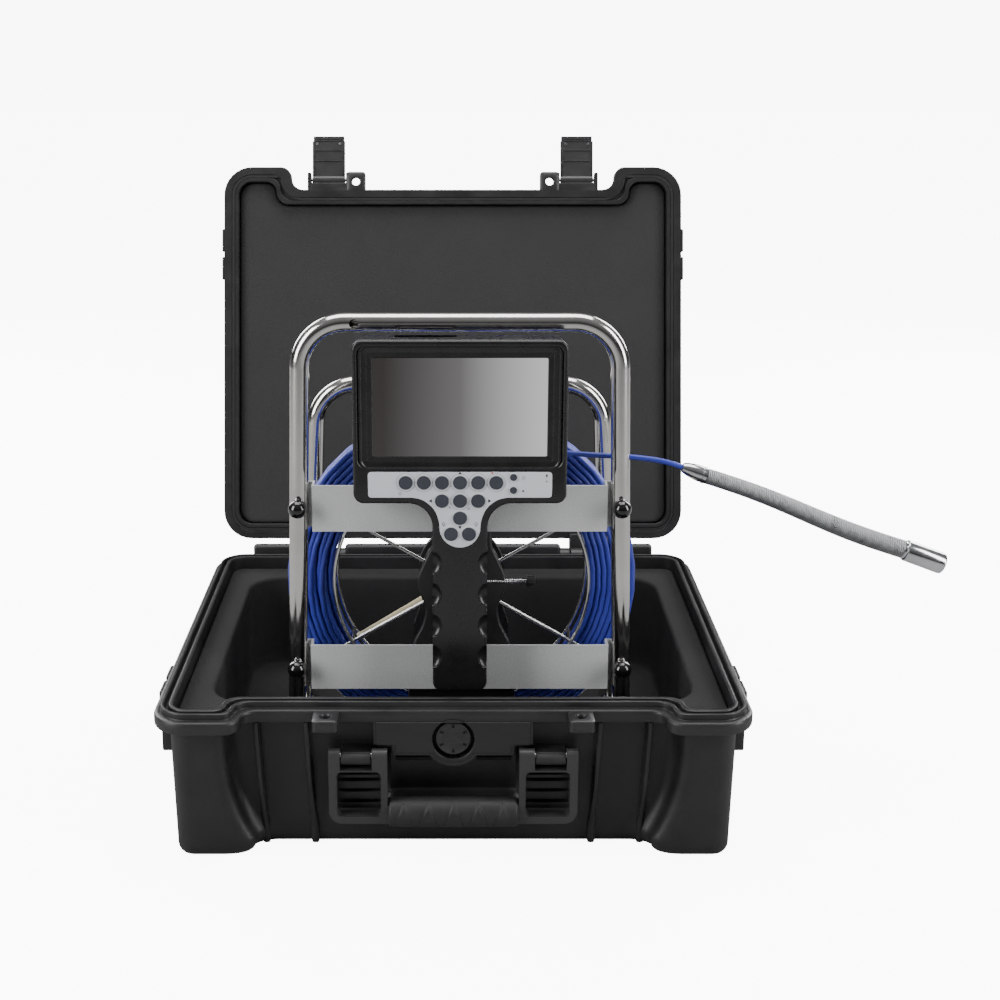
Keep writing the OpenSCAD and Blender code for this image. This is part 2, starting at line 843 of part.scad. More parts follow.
module screw_places() {
    for (x = [-85, 85], z = [mon_bottom + 10, mon_bottom + mon_h - 10]) translate([mon_x + x, 0, z]) children();
    for (x = [-17, 17]) translate([mon_x + x, 0, grip_bottom + 8]) children();
}

module display() {
    color("#3a3a3c") translate([mon_x, 0, screen_z]) upright(mon_front + mon_wall + 0.1, mon_front + mon_wall + 3.5)
        square([screen_w + 2 * screen_skirt, screen_h + 2 * screen_skirt], center = true);
}

module keypad_fascia() {
    color("#d9dce4") difference() {
        upright(mon_front - 0.3, mon_front + fascia_t - 0.05) fascia_outline(0.2);
        key_holes(mon_front - 1, mon_front + 2);
    }
}

module main_board() {
    color("#1f5a35") translate([mon_x, 0, mon_bottom + mon_h / 2]) upright(-104.5, -102.9)
        square([150, 130], center = true);
}

module battery_pack() {
    color("#3b5fa8") translate([mon_x, 0, 0]) upright(-111, -94) translate([0, 190]) rounded(37, 105, 3);
}

module housing_screws() {
    color("#8d9093") screw_places() {
        rod_y(0, mon_back - 7, mon_back, 0, 1.45);
        rod_y(0, mon_back + 0.05, mon_back + 1.8, 0, 2.8);
    }
}

module key(p, r) {
    color("#454a55") rod_y(mon_x + p[0], mon_front - 0.3 - key_proud, mon_front + key_depth, p[1], r);
}

case_base();
base_lugs();
base_foam();
pivot_pins();
case_lid();
lid_seal();
lid_foam();
latch_pins();
latch_left();
latch_right();
carry_handle();
handle_grip();
valve_knob();
front_frame();
rear_frame();
frame_rails();
upper_plate();
lower_plate();
knob_upper_left();
knob_upper_right();
knob_lower_left();
knob_lower_right();
axle();
front_pedestal();
rear_pedestal();
slip_ring();
brake_screw();
reel_hub();
hub_bushes();
reel_rings();
reel_spokes();
lead_in_tube();
cable_coil();
cable_lead();
head_tail();
head_spring();
head_body();
led_ring();
head_lens();
front_housing();
rear_housing();
display();
keypad_fascia();
main_board();
battery_pack();
housing_screws();
for (i = [0:len(key_places) - 1])
    key(key_places[i], key_r);
for (i = [0:len(side_key_places) - 1])
    key(side_key_places[i], small_key_r);
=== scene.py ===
import json
import random
from math import asin, cos, degrees, exp, hypot, pi, radians, sin, sqrt
import bpy
from mathutils import Matrix, Vector

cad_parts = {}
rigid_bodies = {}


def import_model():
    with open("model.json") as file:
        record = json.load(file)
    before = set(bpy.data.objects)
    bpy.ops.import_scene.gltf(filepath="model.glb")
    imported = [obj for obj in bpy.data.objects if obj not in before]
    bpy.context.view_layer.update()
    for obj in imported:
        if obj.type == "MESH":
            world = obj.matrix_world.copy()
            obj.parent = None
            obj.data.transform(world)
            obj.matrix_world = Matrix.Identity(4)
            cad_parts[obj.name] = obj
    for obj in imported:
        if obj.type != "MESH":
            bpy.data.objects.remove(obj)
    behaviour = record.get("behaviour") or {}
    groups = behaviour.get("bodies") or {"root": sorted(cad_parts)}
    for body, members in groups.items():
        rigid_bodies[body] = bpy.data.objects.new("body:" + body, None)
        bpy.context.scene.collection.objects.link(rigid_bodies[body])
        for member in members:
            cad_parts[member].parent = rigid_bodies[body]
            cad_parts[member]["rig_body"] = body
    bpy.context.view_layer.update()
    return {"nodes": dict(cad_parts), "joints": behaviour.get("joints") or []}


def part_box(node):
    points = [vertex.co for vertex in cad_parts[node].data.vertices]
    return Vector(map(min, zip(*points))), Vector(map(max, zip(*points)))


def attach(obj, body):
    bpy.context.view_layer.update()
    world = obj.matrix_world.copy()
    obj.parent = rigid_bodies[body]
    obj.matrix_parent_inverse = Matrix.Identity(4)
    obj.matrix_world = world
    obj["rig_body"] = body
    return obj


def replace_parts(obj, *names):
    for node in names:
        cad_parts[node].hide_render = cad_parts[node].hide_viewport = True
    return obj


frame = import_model()

# All sizes are in millimetres; MM turns them into Blender's metres.
MM = 0.001
SCENE = bpy.context.scene
NODES = frame["nodes"]
JOINTS = {joint["name"]: joint for joint in frame["joints"]}


def node_box(node):
    low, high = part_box(node)
    return low / MM, high / MM


def joint_place(name):
    return Vector(JOINTS[name]["pos_m"]) / MM


def mix(a, b, t):
    return a + (b - a) * t


def ease(t):
    t = min(max(t, 0), 1)
    return t * t * (3 - 2 * t)


def heights(start, stop, step):
    count = max(round(abs(stop - start) / step), 1)
    return [mix(start, stop, i / count) for i in range(count + 1)]


def linked(name, data):
    """A new object in the scene that shows the data."""
    obj = bpy.data.objects.new(name, data)
    SCENE.collection.objects.link(obj)
    return obj


# ---- Driving dimensions, read from the frame where it holds them ----
CASE_LOW, CASE_HIGH = node_box("case_base")
HALF_W = CASE_HIGH.x
HALF_L = CASE_HIGH.y
FRONT = CASE_LOW.y
BASE_TOP = CASE_HIGH.z
CORNER = 32
RECESS = 26
RECESS_HALF = 172
WALL = 4
BODY_IN = 13
DRAFT = 3
FOOT_R = 10
LIP_BOTTOM = 125
HINGE = joint_place("lid_hinge")
LID_ANGLE = radians(103.7)
LID_Z = BASE_TOP + 0.5
OPEN = Matrix.Translation(HINGE) @ Matrix.Rotation(-LID_ANGLE, 4, "X") @ Matrix.Translation(-HINGE)
HANDLE_AXIS = joint_place("handle_swing")
VALVE = joint_place("valve_turn")
REEL = joint_place("reel_spin")
LATCHES = (("latch_left", -1), ("latch_right", 1))
CABLE_R = 2.5
MONITOR_LOW, MONITOR_HIGH = node_box("front_housing")
MONITOR_X = (MONITOR_LOW.x + MONITOR_HIGH.x) / 2
MONITOR_FRONT = MONITOR_LOW.y
MONITOR_BACK = MONITOR_HIGH.y


# ---- Camera ----
def make_camera():
    data = bpy.data.cameras.new("camera")
    camera = linked("camera", data)
    camera.location = (-0.002, -1.421, 0.716)
    camera.rotation_euler = (radians(90 - 13.68), 0, 0)
    data.lens = 55.15
    data.sensor_width = 36
    data.shift_x = 0.049
    data.shift_y = -0.1
    data.clip_start = 0.05
    data.clip_end = 60
    SCENE.camera = camera


make_camera()


# ---- Materials ----
MATERIALS = {}


def node_link(tree, output, socket):
    tree.links.new(output, socket)


def add_node(tree, kind, **values):
    """A new node with its inputs set; an underscore in an input's name stands for a space."""
    node = tree.nodes.new("ShaderNode" + kind)
    for name, value in values.items():
        node.inputs[name.replace("_", " ")].default_value = value
    return node


def noise(tree, scale, detail=3, distortion=0, stretch=(1, 1, 1)):
    place = add_node(tree, "TexCoord")
    mapping = add_node(tree, "Mapping", Scale=stretch)
    node_link(tree, place.outputs["Object"], mapping.inputs["Vector"])
    texture = add_node(tree, "TexNoise", Scale=scale, Detail=detail, Distortion=distortion)
    node_link(tree, mapping.outputs["Vector"], texture.inputs["Vector"])
    return texture.outputs["Fac"]


def spread_value(tree, value, low, high, start=0.3, stop=0.7):
    span = add_node(tree, "MapRange", From_Min=start, From_Max=stop, To_Min=low, To_Max=high)
    node_link(tree, value, span.inputs["Value"])
    return span.outputs["Result"]


def two_colours(tree, value, dark, light, start=0.3, stop=0.7):
    ramp = add_node(tree, "ValToRGB")
    for element, colour, place in zip(ramp.color_ramp.elements, (dark, light), (start, stop)):
        element.color = (*colour, 1)
        element.position = place
    node_link(tree, value, ramp.inputs["Fac"])
    return ramp.outputs["Color"]


def wear_and_highlight_edges(tree, colour, edge_wear_and_highlight, amount):
    """Lightens edges: wear where hands and other cases rub, and a painted highlight."""
    shape = add_node(tree, "NewGeometry")
    edge = spread_value(tree, shape.outputs["Pointiness"], 0, amount, 0.52, 0.62)
    blend = add_node(tree, "Mix")
    blend.data_type = "RGBA"
    node_link(tree, edge, blend.inputs["Factor"])
    node_link(tree, colour, blend.inputs["A"])
    blend.inputs["B"].default_value = (*edge_wear_and_highlight, 1)
    return blend.outputs["Result"]


def bump(tree, shader, *layers):
    """Adds (value, strength, height) layers of fine relief."""
    normal = None
    for value, strength, height in layers:
        relief = add_node(tree, "Bump", Strength=strength, Distance=height * MM)
        node_link(tree, value, relief.inputs["Height"])
        if normal:
            node_link(tree, normal, relief.inputs["Normal"])
        normal = relief.outputs["Normal"]
    node_link(tree, normal, shader.inputs["Normal"])


def material(slot, dark, light, rough, metallic=0, coat=0, mottle=60, grain=2500, grain_depth=0.03,
             grain_strength=0.25, edge_wear_and_highlight=None, specular=0.5):
    """A slot's material: two mottled colours, a roughness range, fine relief and edges lightened for wear and
    as a painted highlight.
    """
    made = bpy.data.materials.new(slot)
    made.use_nodes = True
    tree = made.node_tree
    shader = tree.nodes["Principled BSDF"]
    shader.inputs["Metallic"].default_value = metallic
    shader.inputs["Coat Weight"].default_value = coat
    shader.inputs["Coat Roughness"].default_value = 0.08
    shader.inputs["Specular IOR Level"].default_value = specular
    patches = noise(tree, mottle, 4, 0.4)
    colour = two_colours(tree, patches, dark, light)
    # Lightened edges: partly real wear, partly a painted highlight along the glossy edges.
    if edge_wear_and_highlight:
        colour = wear_and_highlight_edges(tree, colour, edge_wear_and_highlight, 0.5)
    node_link(tree, colour, shader.inputs["Base Color"])
    fine = noise(tree, grain, 2)
    node_link(tree, spread_value(tree, patches, rough[0], rough[1]), shader.inputs["Roughness"])
    bump(tree, shader, (fine, grain_strength, grain_depth))
    MATERIALS[slot] = made
    return tree, shader


def grey(v):
    return (v, v, v * 1.02)


material("case_plastic", grey(0.012), grey(0.017), (0.36, 0.46), mottle=35, grain=1800,
         grain_depth=0.05, edge_wear_and_highlight=grey(0.06))
material("latch_plastic", grey(0.015), grey(0.022), (0.3, 0.4), grain=2200, edge_wear_and_highlight=grey(0.05))
material("grip_rubber", grey(0.014), grey(0.021), (0.5, 0.62), grain=1500, grain_depth=0.08, edge_wear_and_highlight=grey(0.04))
material("seal_rubber", grey(0.006), grey(0.01), (0.55, 0.65), grain=900, grain_depth=0.05)
material("reel_plastic", grey(0.012), grey(0.018), (0.32, 0.42), grain=2000, edge_wear_and_highlight=grey(0.05))
material("knob_plastic", grey(0.004), grey(0.006), (0.06, 0.12), coat=0.6, grain=300, grain_strength=0.03)
material("monitor_plastic", grey(0.009), grey(0.013), (0.24, 0.32), mottle=50, grain=1400, grain_depth=0.01,
         grain_strength=0.05, edge_wear_and_highlight=grey(0.035))
material("key_rubber", (0.04, 0.044, 0.058), (0.048, 0.053, 0.069), (0.45, 0.55), grain=3000)
material("head_steel", (0.6, 0.61, 0.62), (0.7, 0.71, 0.72), (0.1, 0.2), metallic=1, mottle=90,
         grain=800, grain_strength=0.06)
material("spring_steel", (0.3, 0.305, 0.31), (0.42, 0.425, 0.43), (0.26, 0.38), metallic=1, mottle=120,
         grain=900, grain_strength=0.02)
material("pin_steel", (0.5, 0.51, 0.52), (0.62, 0.63, 0.64), (0.18, 0.3), metallic=1, grain=900,
         grain_strength=0.08)
material("reel_wire", (0.55, 0.55, 0.54), (0.68, 0.68, 0.67), (0.1, 0.2), metallic=1, mottle=140, grain=900,
         grain_strength=0.05)
material("bush_bronze", (0.5, 0.33, 0.13), (0.62, 0.43, 0.2), (0.22, 0.34), metallic=1, grain=900)
material("lead_in_plastic", (0.42, 0.36, 0.2), (0.55, 0.49, 0.31), (0.35, 0.5), mottle=45, grain=1500)
material("push_cable", (0.034, 0.046, 0.36), (0.046, 0.062, 0.43), (0.28, 0.4), mottle=80, grain=1400,
         grain_depth=0.02, grain_strength=0.15)
material("led_lens", (0.75, 0.74, 0.66), (0.85, 0.84, 0.78), (0.12, 0.2), coat=0.5, grain=900)
material("lens_glass", (0.01, 0.012, 0.02), (0.016, 0.018, 0.03), (0.02, 0.05), coat=1, grain=200,
         grain_strength=0.01)
material("circuit_board", (0.01, 0.07, 0.03), (0.02, 0.1, 0.045), (0.3, 0.45), mottle=300)
material("battery_wrap", (0.02, 0.06, 0.2), (0.03, 0.08, 0.26), (0.2, 0.3), coat=0.3)
material("fascia_plastic", (0.66, 0.69, 0.74), (0.72, 0.75, 0.79), (0.3, 0.38), mottle=20, grain=3500,
         grain_depth=0.01)


def foam_material(slot, dark, light):
    """Closed-cell foam: fine cells with scattered larger pits."""
    tree, shader = material(slot, dark, light, (0.8, 0.95), mottle=14, specular=0.25)
    cells = add_node(tree, "TexVoronoi", Scale=900)
    place = add_node(tree, "TexCoord")
    node_link(tree, place.outputs["Object"], cells.inputs["Vector"])
    pits = spread_value(tree, noise(tree, 420, 2), 0, 1, 0.62, 0.72)
    bump(tree, shader, (cells.outputs["Distance"], 0.35, 0.3), (pits, 0.4, -0.3))


foam_material("foam", grey(0.016), grey(0.022))
# The same foam twice: the lighter copy is painted light for the lid's upright face, which faces the lamps.
foam_material("lid_foam_lit_face", grey(0.03), grey(0.037))


def tube_material():
    """Polished stainless tube with faint drawing marks and a few rubs."""
    tree, shader = material("stainless_tube", (0.62, 0.61, 0.58), (0.74, 0.73, 0.71), (0.09, 0.16),
                            metallic=1, mottle=25, grain=600, grain_strength=0.03)
    rubs = spread_value(tree, noise(tree, 260, 5, 1.5), 0, 1, 0.64, 0.74)
    marks = noise(tree, 900, 2, 0, (1, 1, 0.05))
    bump(tree, shader, (marks, 0.05, 0.02), (rubs, 0.12, 0.05))


def plate_material():
    """Satin aluminium with a fine sparkling speckle."""
    material("plate_aluminium", (0.55, 0.565, 0.565), (0.74, 0.75, 0.75), (0.36, 0.5),
             metallic=0.12, mottle=950, grain=1300, grain_depth=0.05, grain_strength=0.2)


def screen_material():
    """The lit screen: a still picture that runs from dark on the left to light on the right."""
    low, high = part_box("display")
    tree, shader = material("screen_glass", grey(0.01), grey(0.012), (0.06, 0.1), coat=0.3, mottle=8,
                            grain=200, grain_strength=0.005)
    place = add_node(tree, "TexCoord")
    axes = add_node(tree, "SeparateXYZ")
    node_link(tree, place.outputs["Object"], axes.inputs["Vector"])
    across = spread_value(tree, axes.outputs["X"], 0, 1, low.x + 0.003, high.x - 0.003)
    picture = two_colours(tree, across, (0.022, 0.018, 0.016), (0.62, 0.61, 0.62), 0.06, 0.97)
    middle = picture.node.color_ramp.elements.new(0.5)
    middle.color = (0.14, 0.135, 0.137, 1)
    node_link(tree, picture, shader.inputs["Emission Color"])
    shader.inputs["Emission Strength"].default_value = 1.0


def plain(slot, colour, rough=0.5):
    """Printing ink and shadowed plastic."""
    material(slot, tuple(0.85 * c for c in colour), colour, (rough, rough + 0.08))


tube_material()
plate_material()
screen_material()
plain("mark_dark", (0.03, 0.032, 0.04))
plain("mark_grey", (0.3, 0.31, 0.34))
plain("mark_white", (0.86, 0.88, 0.9), 0.4)
plain("mark_red", (0.7, 0.03, 0.02))
plain("deep_black", (0.003, 0.003, 0.003), 0.7)


# ---- Mesh helpers: shapes are (points, faces) in millimetres ----
def ring_faces(first, second, count):
    return [(first + i, first + (i + 1) % count, second + (i + 1) % count, second + i) for i in range(count)]


def loft(rings, cap_first=True, cap_last=True):
    """A skin over closed rings that have the same number of points."""
    count = len(rings[0])
    points = [point for ring in rings for point in ring]
    faces = []
    for i in range(len(rings) - 1):
        faces += ring_faces(i * count, (i + 1) * count, count)
    if cap_first:
        faces.append(tuple(range(count - 1, -1, -1)))
    if cap_last:
        faces.append(tuple(range(len(points) - count, len(points))))
    return points, faces


def joined(*shapes):
    points, faces = [], []
    for more_points, more_faces in shapes:
        faces += [tuple(i + len(points) for i in face) for face in more_faces]
        points += more_points
    return points, faces


def moved(shape, matrix):
    points, faces = shape
    return [tuple(matrix @ Vector(p)) for p in points], faces


def shifted(shape, x=0, y=0, z=0):
    return moved(shape, Matrix.Translation((x, y, z)))


def aimed(shape, start, direction):
    """Turns a shape drawn along Z so that it starts at a point and runs along a direction."""
    turn = Vector((0, 0, 1)).rotation_difference(Vector(direction)).to_matrix().to_4x4()
    return moved(shape, Matrix.Translation(start) @ turn)


def closed_loft(rings):
    """A skin over closed rings whose last ring meets the first."""
    points, faces = loft(rings, False, False)
    count = len(rings[0])
    return points, faces + ring_faces(len(points) - count, 0, count)


def turned(profile, sides):
    """The rings that (radius, height) pairs draw when they turn about Z."""
    return [[(r * cos(2 * pi * k / sides), r * sin(2 * pi * k / sides), z) for k in range(sides)]
            for r, z in profile]


def lathe(profile, sides=48):
    """A solid of revolution about Z from (radius, height) pairs, closed at both ends."""
    return loft(turned(profile, sides))


def washer(profile, sides=48):
    """A ring with a hole, turned about Z from a closed (radius, height) profile."""
    return closed_loft(turned(profile, sides))


def pill(radius, low, high, rounding):
    """A rod's (radius, height) profile with rounded ends."""
    turns = [radians(a) for a in (0, 22, 45, 68, 90)]
    start = [(radius - rounding + rounding * sin(a), low + rounding - rounding * cos(a)) for a in turns]
    stop = [(r, low + high - z) for r, z in reversed(start)]
    return [(0.01, low)] + start + stop + [(0.01, high)]


def arc(cx, cy, rx, ry, a0, a1, steps):
    return [(cx + rx * cos(radians(mix(a0, a1, i / steps))), cy + ry * sin(radians(mix(a0, a1, i / steps))))
            for i in range(steps + 1)]


def rounded_rect(x0, x1, y0, y1, r, steps=6):
    return (arc(x1 - r, y0 + r, r, r, 270, 360, steps) + arc(x1 - r, y1 - r, r, r, 0, 90, steps)
            + arc(x0 + r, y1 - r, r, r, 90, 180, steps) + arc(x0 + r, y0 + r, r, r, 180, 270, steps))


def slab(outline_at, height, rounding, steps=4):
    """Extrudes outline_at(inset) up Z from 0 to height, with both edges rounded."""
    turns = [pi / 2 * i / steps for i in range(steps + 1)]
    lower = [(rounding * (1 - sin(a)), rounding * (1 - cos(a))) for a in turns]
    levels = lower + [(inset, height - z) for inset, z in reversed(lower)]
    return loft([[(x, y, z) for x, y in outline_at(inset)] for inset, z in levels])


def block(x0, x1, y0, y1, z0, z1, rounding=1, corner=None):
    """A box with rounded edges all round."""
    r = rounding + 0.01 if corner is None else corner

    def outline(e):
        return rounded_rect(x0 + e, x1 - e, y0 + e, y1 - e, max(r - e, 0.01), 4)

    return shifted(slab(outline, z1 - z0, rounding), z=z0)


def upright(shape, y_front):
    """Stands a shape drawn on XY up on XZ, with its z = 0 face at y_front, growing towards +Y."""
    turn = Matrix(((1, 0, 0, 0), (0, 0, 1, 0), (0, 1, 0, 0), (0, 0, 0, 1)))
    points, faces = moved(shape, Matrix.Translation((0, y_front, 0)) @ turn)
    return points, [tuple(reversed(face)) for face in faces]


def finish_piece(obj, slot, body, material_name=None):
    obj.data.materials.clear()
    obj.data.materials.append(MATERIALS[material_name or slot])
    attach(obj, body)
    return obj


def smooth_faces(mesh, sharp):
    """Shades a mesh smooth, apart from edges sharper than an angle in degrees."""
    mesh.shade_smooth()
    mesh.set_sharp_from_angle(angle=radians(sharp))


def evaluated_mesh(obj):
    """A new mesh of what an object shows, with its bevel or modifiers applied."""
    bpy.context.view_layer.update()
    return bpy.data.meshes.new_from_object(obj.evaluated_get(bpy.context.evaluated_depsgraph_get()))


def piece(name, shape, slot, body, sharp=38, material_name=None, matrix=None):
    """Makes a shape into a smooth-shaded object that rides on a body."""
    points, faces = moved(shape, matrix) if matrix else shape
    mesh = bpy.data.meshes.new(name)
    mesh.from_pydata([Vector(p) * MM for p in points], [], faces)
    mesh.validate()
    smooth_faces(mesh, sharp)
    return finish_piece(linked(name, mesh), slot, body, material_name)


def add_line(curve, points, closed):
    line = curve.splines.new("POLY")
    line.points.add(len(points) - 1)
    for place, point in zip(line.points, points):
        place.co = (*(Vector(point) * MM), 1)
    line.use_cyclic_u = closed
    return line


def wire(name, points, radius, slot, body, sides=3):
    """A round wire or cable along the points, as one spline."""
    curve = bpy.data.curves.new(name, "CURVE")
    curve.dimensions = "3D"
    curve.bevel_depth = radius * MM
    curve.bevel_resolution = sides
    curve.use_fill_caps = True
    add_line(curve, points, False).use_smooth = True
    return finish_piece(linked(name, curve), slot, body)


def flat_plate(name, outlines, y0, y1, rounding, slot, body):
    """A plate of any outline, with holes, that stands on XZ from y0 to y1 with rounded edges."""
    curve = bpy.data.curves.new(name, "CURVE")
    curve.dimensions = "2D"
    curve.fill_mode = "BOTH"
    curve.extrude = ((y1 - y0) / 2 - rounding) * MM
    curve.bevel_depth = rounding * MM
    curve.bevel_resolution = 3
    curve.offset = -rounding * MM
    for outline in outlines:
        add_line(curve, [(x, z, 0) for x, z in outline], True)
    drawn = linked(name, curve)
    mesh = evaluated_mesh(drawn)
    bpy.data.objects.remove(drawn)
    mesh.transform(Matrix.Translation((0, (y0 + y1) / 2 * MM, 0)) @ Matrix.Rotation(pi / 2, 4, "X"))
    smooth_faces(mesh, 40)
    return finish_piece(linked(name, mesh), slot, body)


def hole(outline):
    return list(reversed(outline))


def both_sides(right, x=0):
    """A closed outline from its right half, mirrored about x."""
    return [(x + px, z) for px, z in right] + [(x - px, z) for px, z in reversed(right)]


# ---- Cords: the wound cable and its free end ----
def coil_points():
    """The wound cable, layer on layer, from the lead-in tube to the outside of the coil."""
    low, high = node_box("cable_coil")
    outer = (high.x - low.x) / 2 - CABLE_R
    inner = node_box("reel_rings")[1].x - REEL.x - 1.75 + 5
    layers, rows, per_turn = 8, 4, 40
    radial = (outer - inner) / (layers - 1)
    axial = (high.y - low.y - 2 * CABLE_R) / (rows - 1)
    start_angle = radians(212)
    rng = random.Random(7)
    sway = [(rng.uniform(0.05, 0.28), rng.uniform(0, 2 * pi), rng.randint(2, 5))
            for turn in range(layers * rows)]
    points = []
    for turn in range(layers * rows):
        layer, row = divmod(turn, rows)
        step = 1 if layer % 2 == 0 else -1
        row = row if step > 0 else rows - 1 - row
        last = turn == layers * rows - 1
        crosses = (turn + 1) % rows == 0
        size, phase, waves = sway[turn]
        for k in range(per_turn):
            t = k / per_turn
            jog = ease((t - 0.82) / 0.18)
            y = low.y + CABLE_R + axial * (row + (0 if crosses else step * jog))
            r = inner + radial * (layer + (jog if crosses and not last else 0))
            wobble = size * sin(waves * 2 * pi * t + phase) * sin(pi * t)
            angle = start_angle + 2 * pi * t
            r += wobble
            points.append((REEL.x + r * cos(angle), y + wobble, REEL.z + r * sin(angle)))
    return points


def smooth_line(knots, steps):
    """A Catmull-Rom curve through the knots."""
    knots = [Vector(k) for k in knots]
    points = []
    for i in range(len(knots) - 1):
        a, b, c, d = knots[max(i - 1, 0)], knots[i], knots[i + 1], knots[min(i + 2, len(knots) - 1)]
        for k in range(steps):
            t = k / steps
            points.append(0.5 * (2 * b + (c - a) * t + (2 * a - 5 * b + 4 * c - d) * t ** 2
                                 + (3 * b - a - 3 * c + d) * t ** 3))
    return points + [knots[-1]]


LEAD_ROUTE = [
    (22, -53, 349), (40, -54, 347), (60, -56, 343), (85, -58.5, 338), (106, -60, 334.5),
    (130, -60, 332.5), (160, -60, 331), (186, -60, 328), (203, -60, 324), (213, -60, 320.5)
]
HEAD_START = Vector(LEAD_ROUTE[-1])
HEAD_SLOPE = radians(20.9)
HEAD_AXIS = Vector((cos(HEAD_SLOPE), 0, -sin(HEAD_SLOPE)))
HEAD_SIDE = Vector((sin(HEAD_SLOPE), 0, cos(HEAD_SLOPE)))
TAIL_L = 22
SPRING_L = 202
HEAD_R = 10.2

coil_line = coil_points()
coil = wire("push_cable_coil", coil_line, CABLE_R, "push_cable", "reel", 4)
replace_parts(coil, "cable_coil")


# ---- Camera head ----
def head_point(s, off=0, side=0):
    """A point s along the head's axis, off to its upper side and side towards the viewer."""
    return HEAD_START + HEAD_AXIS * s + HEAD_SIDE * off + Vector((0, -1, 0)) * side


def spring_bend(s):
    """The spring's slight S bend, level with the axis at both ends."""
    return 1.6 * sin(2 * pi * min(max(s, 0), SPRING_L) / SPRING_L)


def lead_points():
    """The free end: from the coil to the head, and on through the spring to the barrel."""
    inside = [head_point(s, spring_bend(s - TAIL_L)) for s in heights(4, TAIL_L + SPRING_L + 4, 8)]
    return smooth_line(LEAD_ROUTE, 4) + inside


lead_line = lead_points()
lead = wire("push_cable_lead", lead_line, CABLE_R, "push_cable", "reel_stand", 6)
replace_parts(lead, "cable_lead")


def make_spring():
    turns, per_turn, wire_r = 112, 18, 0.86
    points = []
    for i in range(turns * per_turn + 1):
        t = i / (turns * per_turn)
        s = TAIL_L + 1.2 + t * (SPRING_L - 2.2)
        radius = mix(7.1, 8.4, ease(t * 1.1)) - wire_r + 0.5
        angle = 2 * pi * i / per_turn
        points.append(head_point(s, spring_bend(s - TAIL_L) + radius * cos(angle), radius * sin(angle)))
    spring = wire("spring_wire", points, wire_r, "spring_steel", "reel_stand", 1)
    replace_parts(spring, "head_spring")
    core_line = [head_point(TAIL_L + k * SPRING_L / 20, spring_bend(k * SPRING_L / 20)) for k in range(21)]
    core = wire("spring_core", core_line, 6.4, "seal_rubber", "reel_stand", 4)
    return [spring, core]


def make_head():
    tail = [(2.6, -1.5), (3.9, -1.2), (4.9, 0.5), (5.9, 3.5), (6.8, 8), (7.5, 13), (7.7, 16), (7.7, 17.4),
            (7.2, 17.8), (7.2, 18.6), (7.8, 19), (7.9, 22), (6, 22.6)]
    body_end = TAIL_L + SPRING_L
    body = [(6, -1.4), (8.2, -1.2), (8.4, 0.6), (9.3, 0.9), (9.9, 1.3), (HEAD_R, 2.4), (HEAD_R, 37.5),
            (10, 38.4), (9.6, 39.2), (9.1, 39.6), (8.9, 39.4), (8.8, 37), (8.8, 33)]
    sleeve = aimed(lathe(tail), HEAD_START, HEAD_AXIS)
    tail_piece = piece("head_tail_sleeve", sleeve, "head_steel", "reel_stand")
    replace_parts(tail_piece, "head_tail")
    body_piece = piece("head_barrel", aimed(lathe(body, 64), head_point(body_end), HEAD_AXIS), "head_steel",
                       "reel_stand")
    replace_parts(body_piece, "head_body")
    screws = []
    for s, radius in ((19.6, 7.4), (body_end + 3.2, 9.6)):
        for turn in (35, 155, 275):
            out = HEAD_SIDE * cos(radians(turn)) - Vector((0, 1, 0)) * sin(radians(turn))
            shape = washer([(0.5, 0.55), (1.15, 0.55), (1.15, -1), (0.5, -0.4)], 12)
            screws.append(aimed(shape, head_point(s) + out * radius, out))
    grub = piece("grub_screws", joined(*screws), "pin_steel", "reel_stand")
    lamps = []
    lamp = [(0.05, -0.5), (1.15, -0.5), (1.15, 0), (0.85, 0.6), (0.05, 0.85)]
    for k in range(12):
        turn = 2 * pi * k / 12
        place = head_point(body_end + 36.3, 6.4 * cos(turn), 6.4 * sin(turn))
        lamps.append(aimed(lathe(lamp, 16), place, HEAD_AXIS))
    leds = piece("led_lamps", joined(*lamps), "led_lens", "reel_stand")
    return [tail_piece, body_piece, grub, leds]


head_pieces = make_spring() + make_head()


# ---- Case: one outline serves the base, the lid and both foams ----
FLAT_COLUMNS = 38
COLUMN_STEP = 4
S_STEPS = 7
CORNER_STEPS = 8


def mirrored(half):
    return half + [(-x, y) for x, y in reversed(half[1:])]


def case_outline(e, depth=0):
    """The case's outline, e inside its outermost line. Towards depth 1 the front towers soften."""
    r = max(CORNER - e, 4)
    w, l = HALF_W - e, HALF_L - e
    sweep = depth ** 2.4
    side = RECESS_HALF + 13 + e - 25 * sweep
    inner, outer = mix(14, 24, sweep), mix(12, 22, sweep)
    wall = FRONT + RECESS + e
    half = [(COLUMN_STEP * i, wall) for i in range(FLAT_COLUMNS)]
    half += arc(side - inner, wall - 14, inner, 14, 90, 0, S_STEPS)
    half += arc(side + outer, wall - 14, outer, RECESS - 14, 180, 270, S_STEPS)[1:]
    half += arc(w - r, FRONT + e + r, r, r, 270, 360, CORNER_STEPS)
    half += arc(w - r, l - r, r, r, 0, 90, CORNER_STEPS)
    return mirrored(half)


def pocket_outline(e):
    """The foam pocket's outline, e inside its wall, with its points matched to the case's outline."""
    half_w, front, back, corner = 218, -153, 165, 35
    r = corner - e
    last = COLUMN_STEP * (FLAT_COLUMNS - 1)
    half = [(COLUMN_STEP * i, front + e) for i in range(FLAT_COLUMNS)]
    half += [(mix(last, half_w - corner, (i + 1) / (2 * S_STEPS + 2)), front + e)
             for i in range(2 * S_STEPS + 1)]
    half += arc(half_w - corner, front + corner, r, r, 270, 360, CORNER_STEPS)
    half += arc(half_w - corner, back - corner, r, r, 0, 90, CORNER_STEPS)
    return mirrored(half)


def wall_depth(z):
    return min(max((118 - z) / 103, 0), 1)


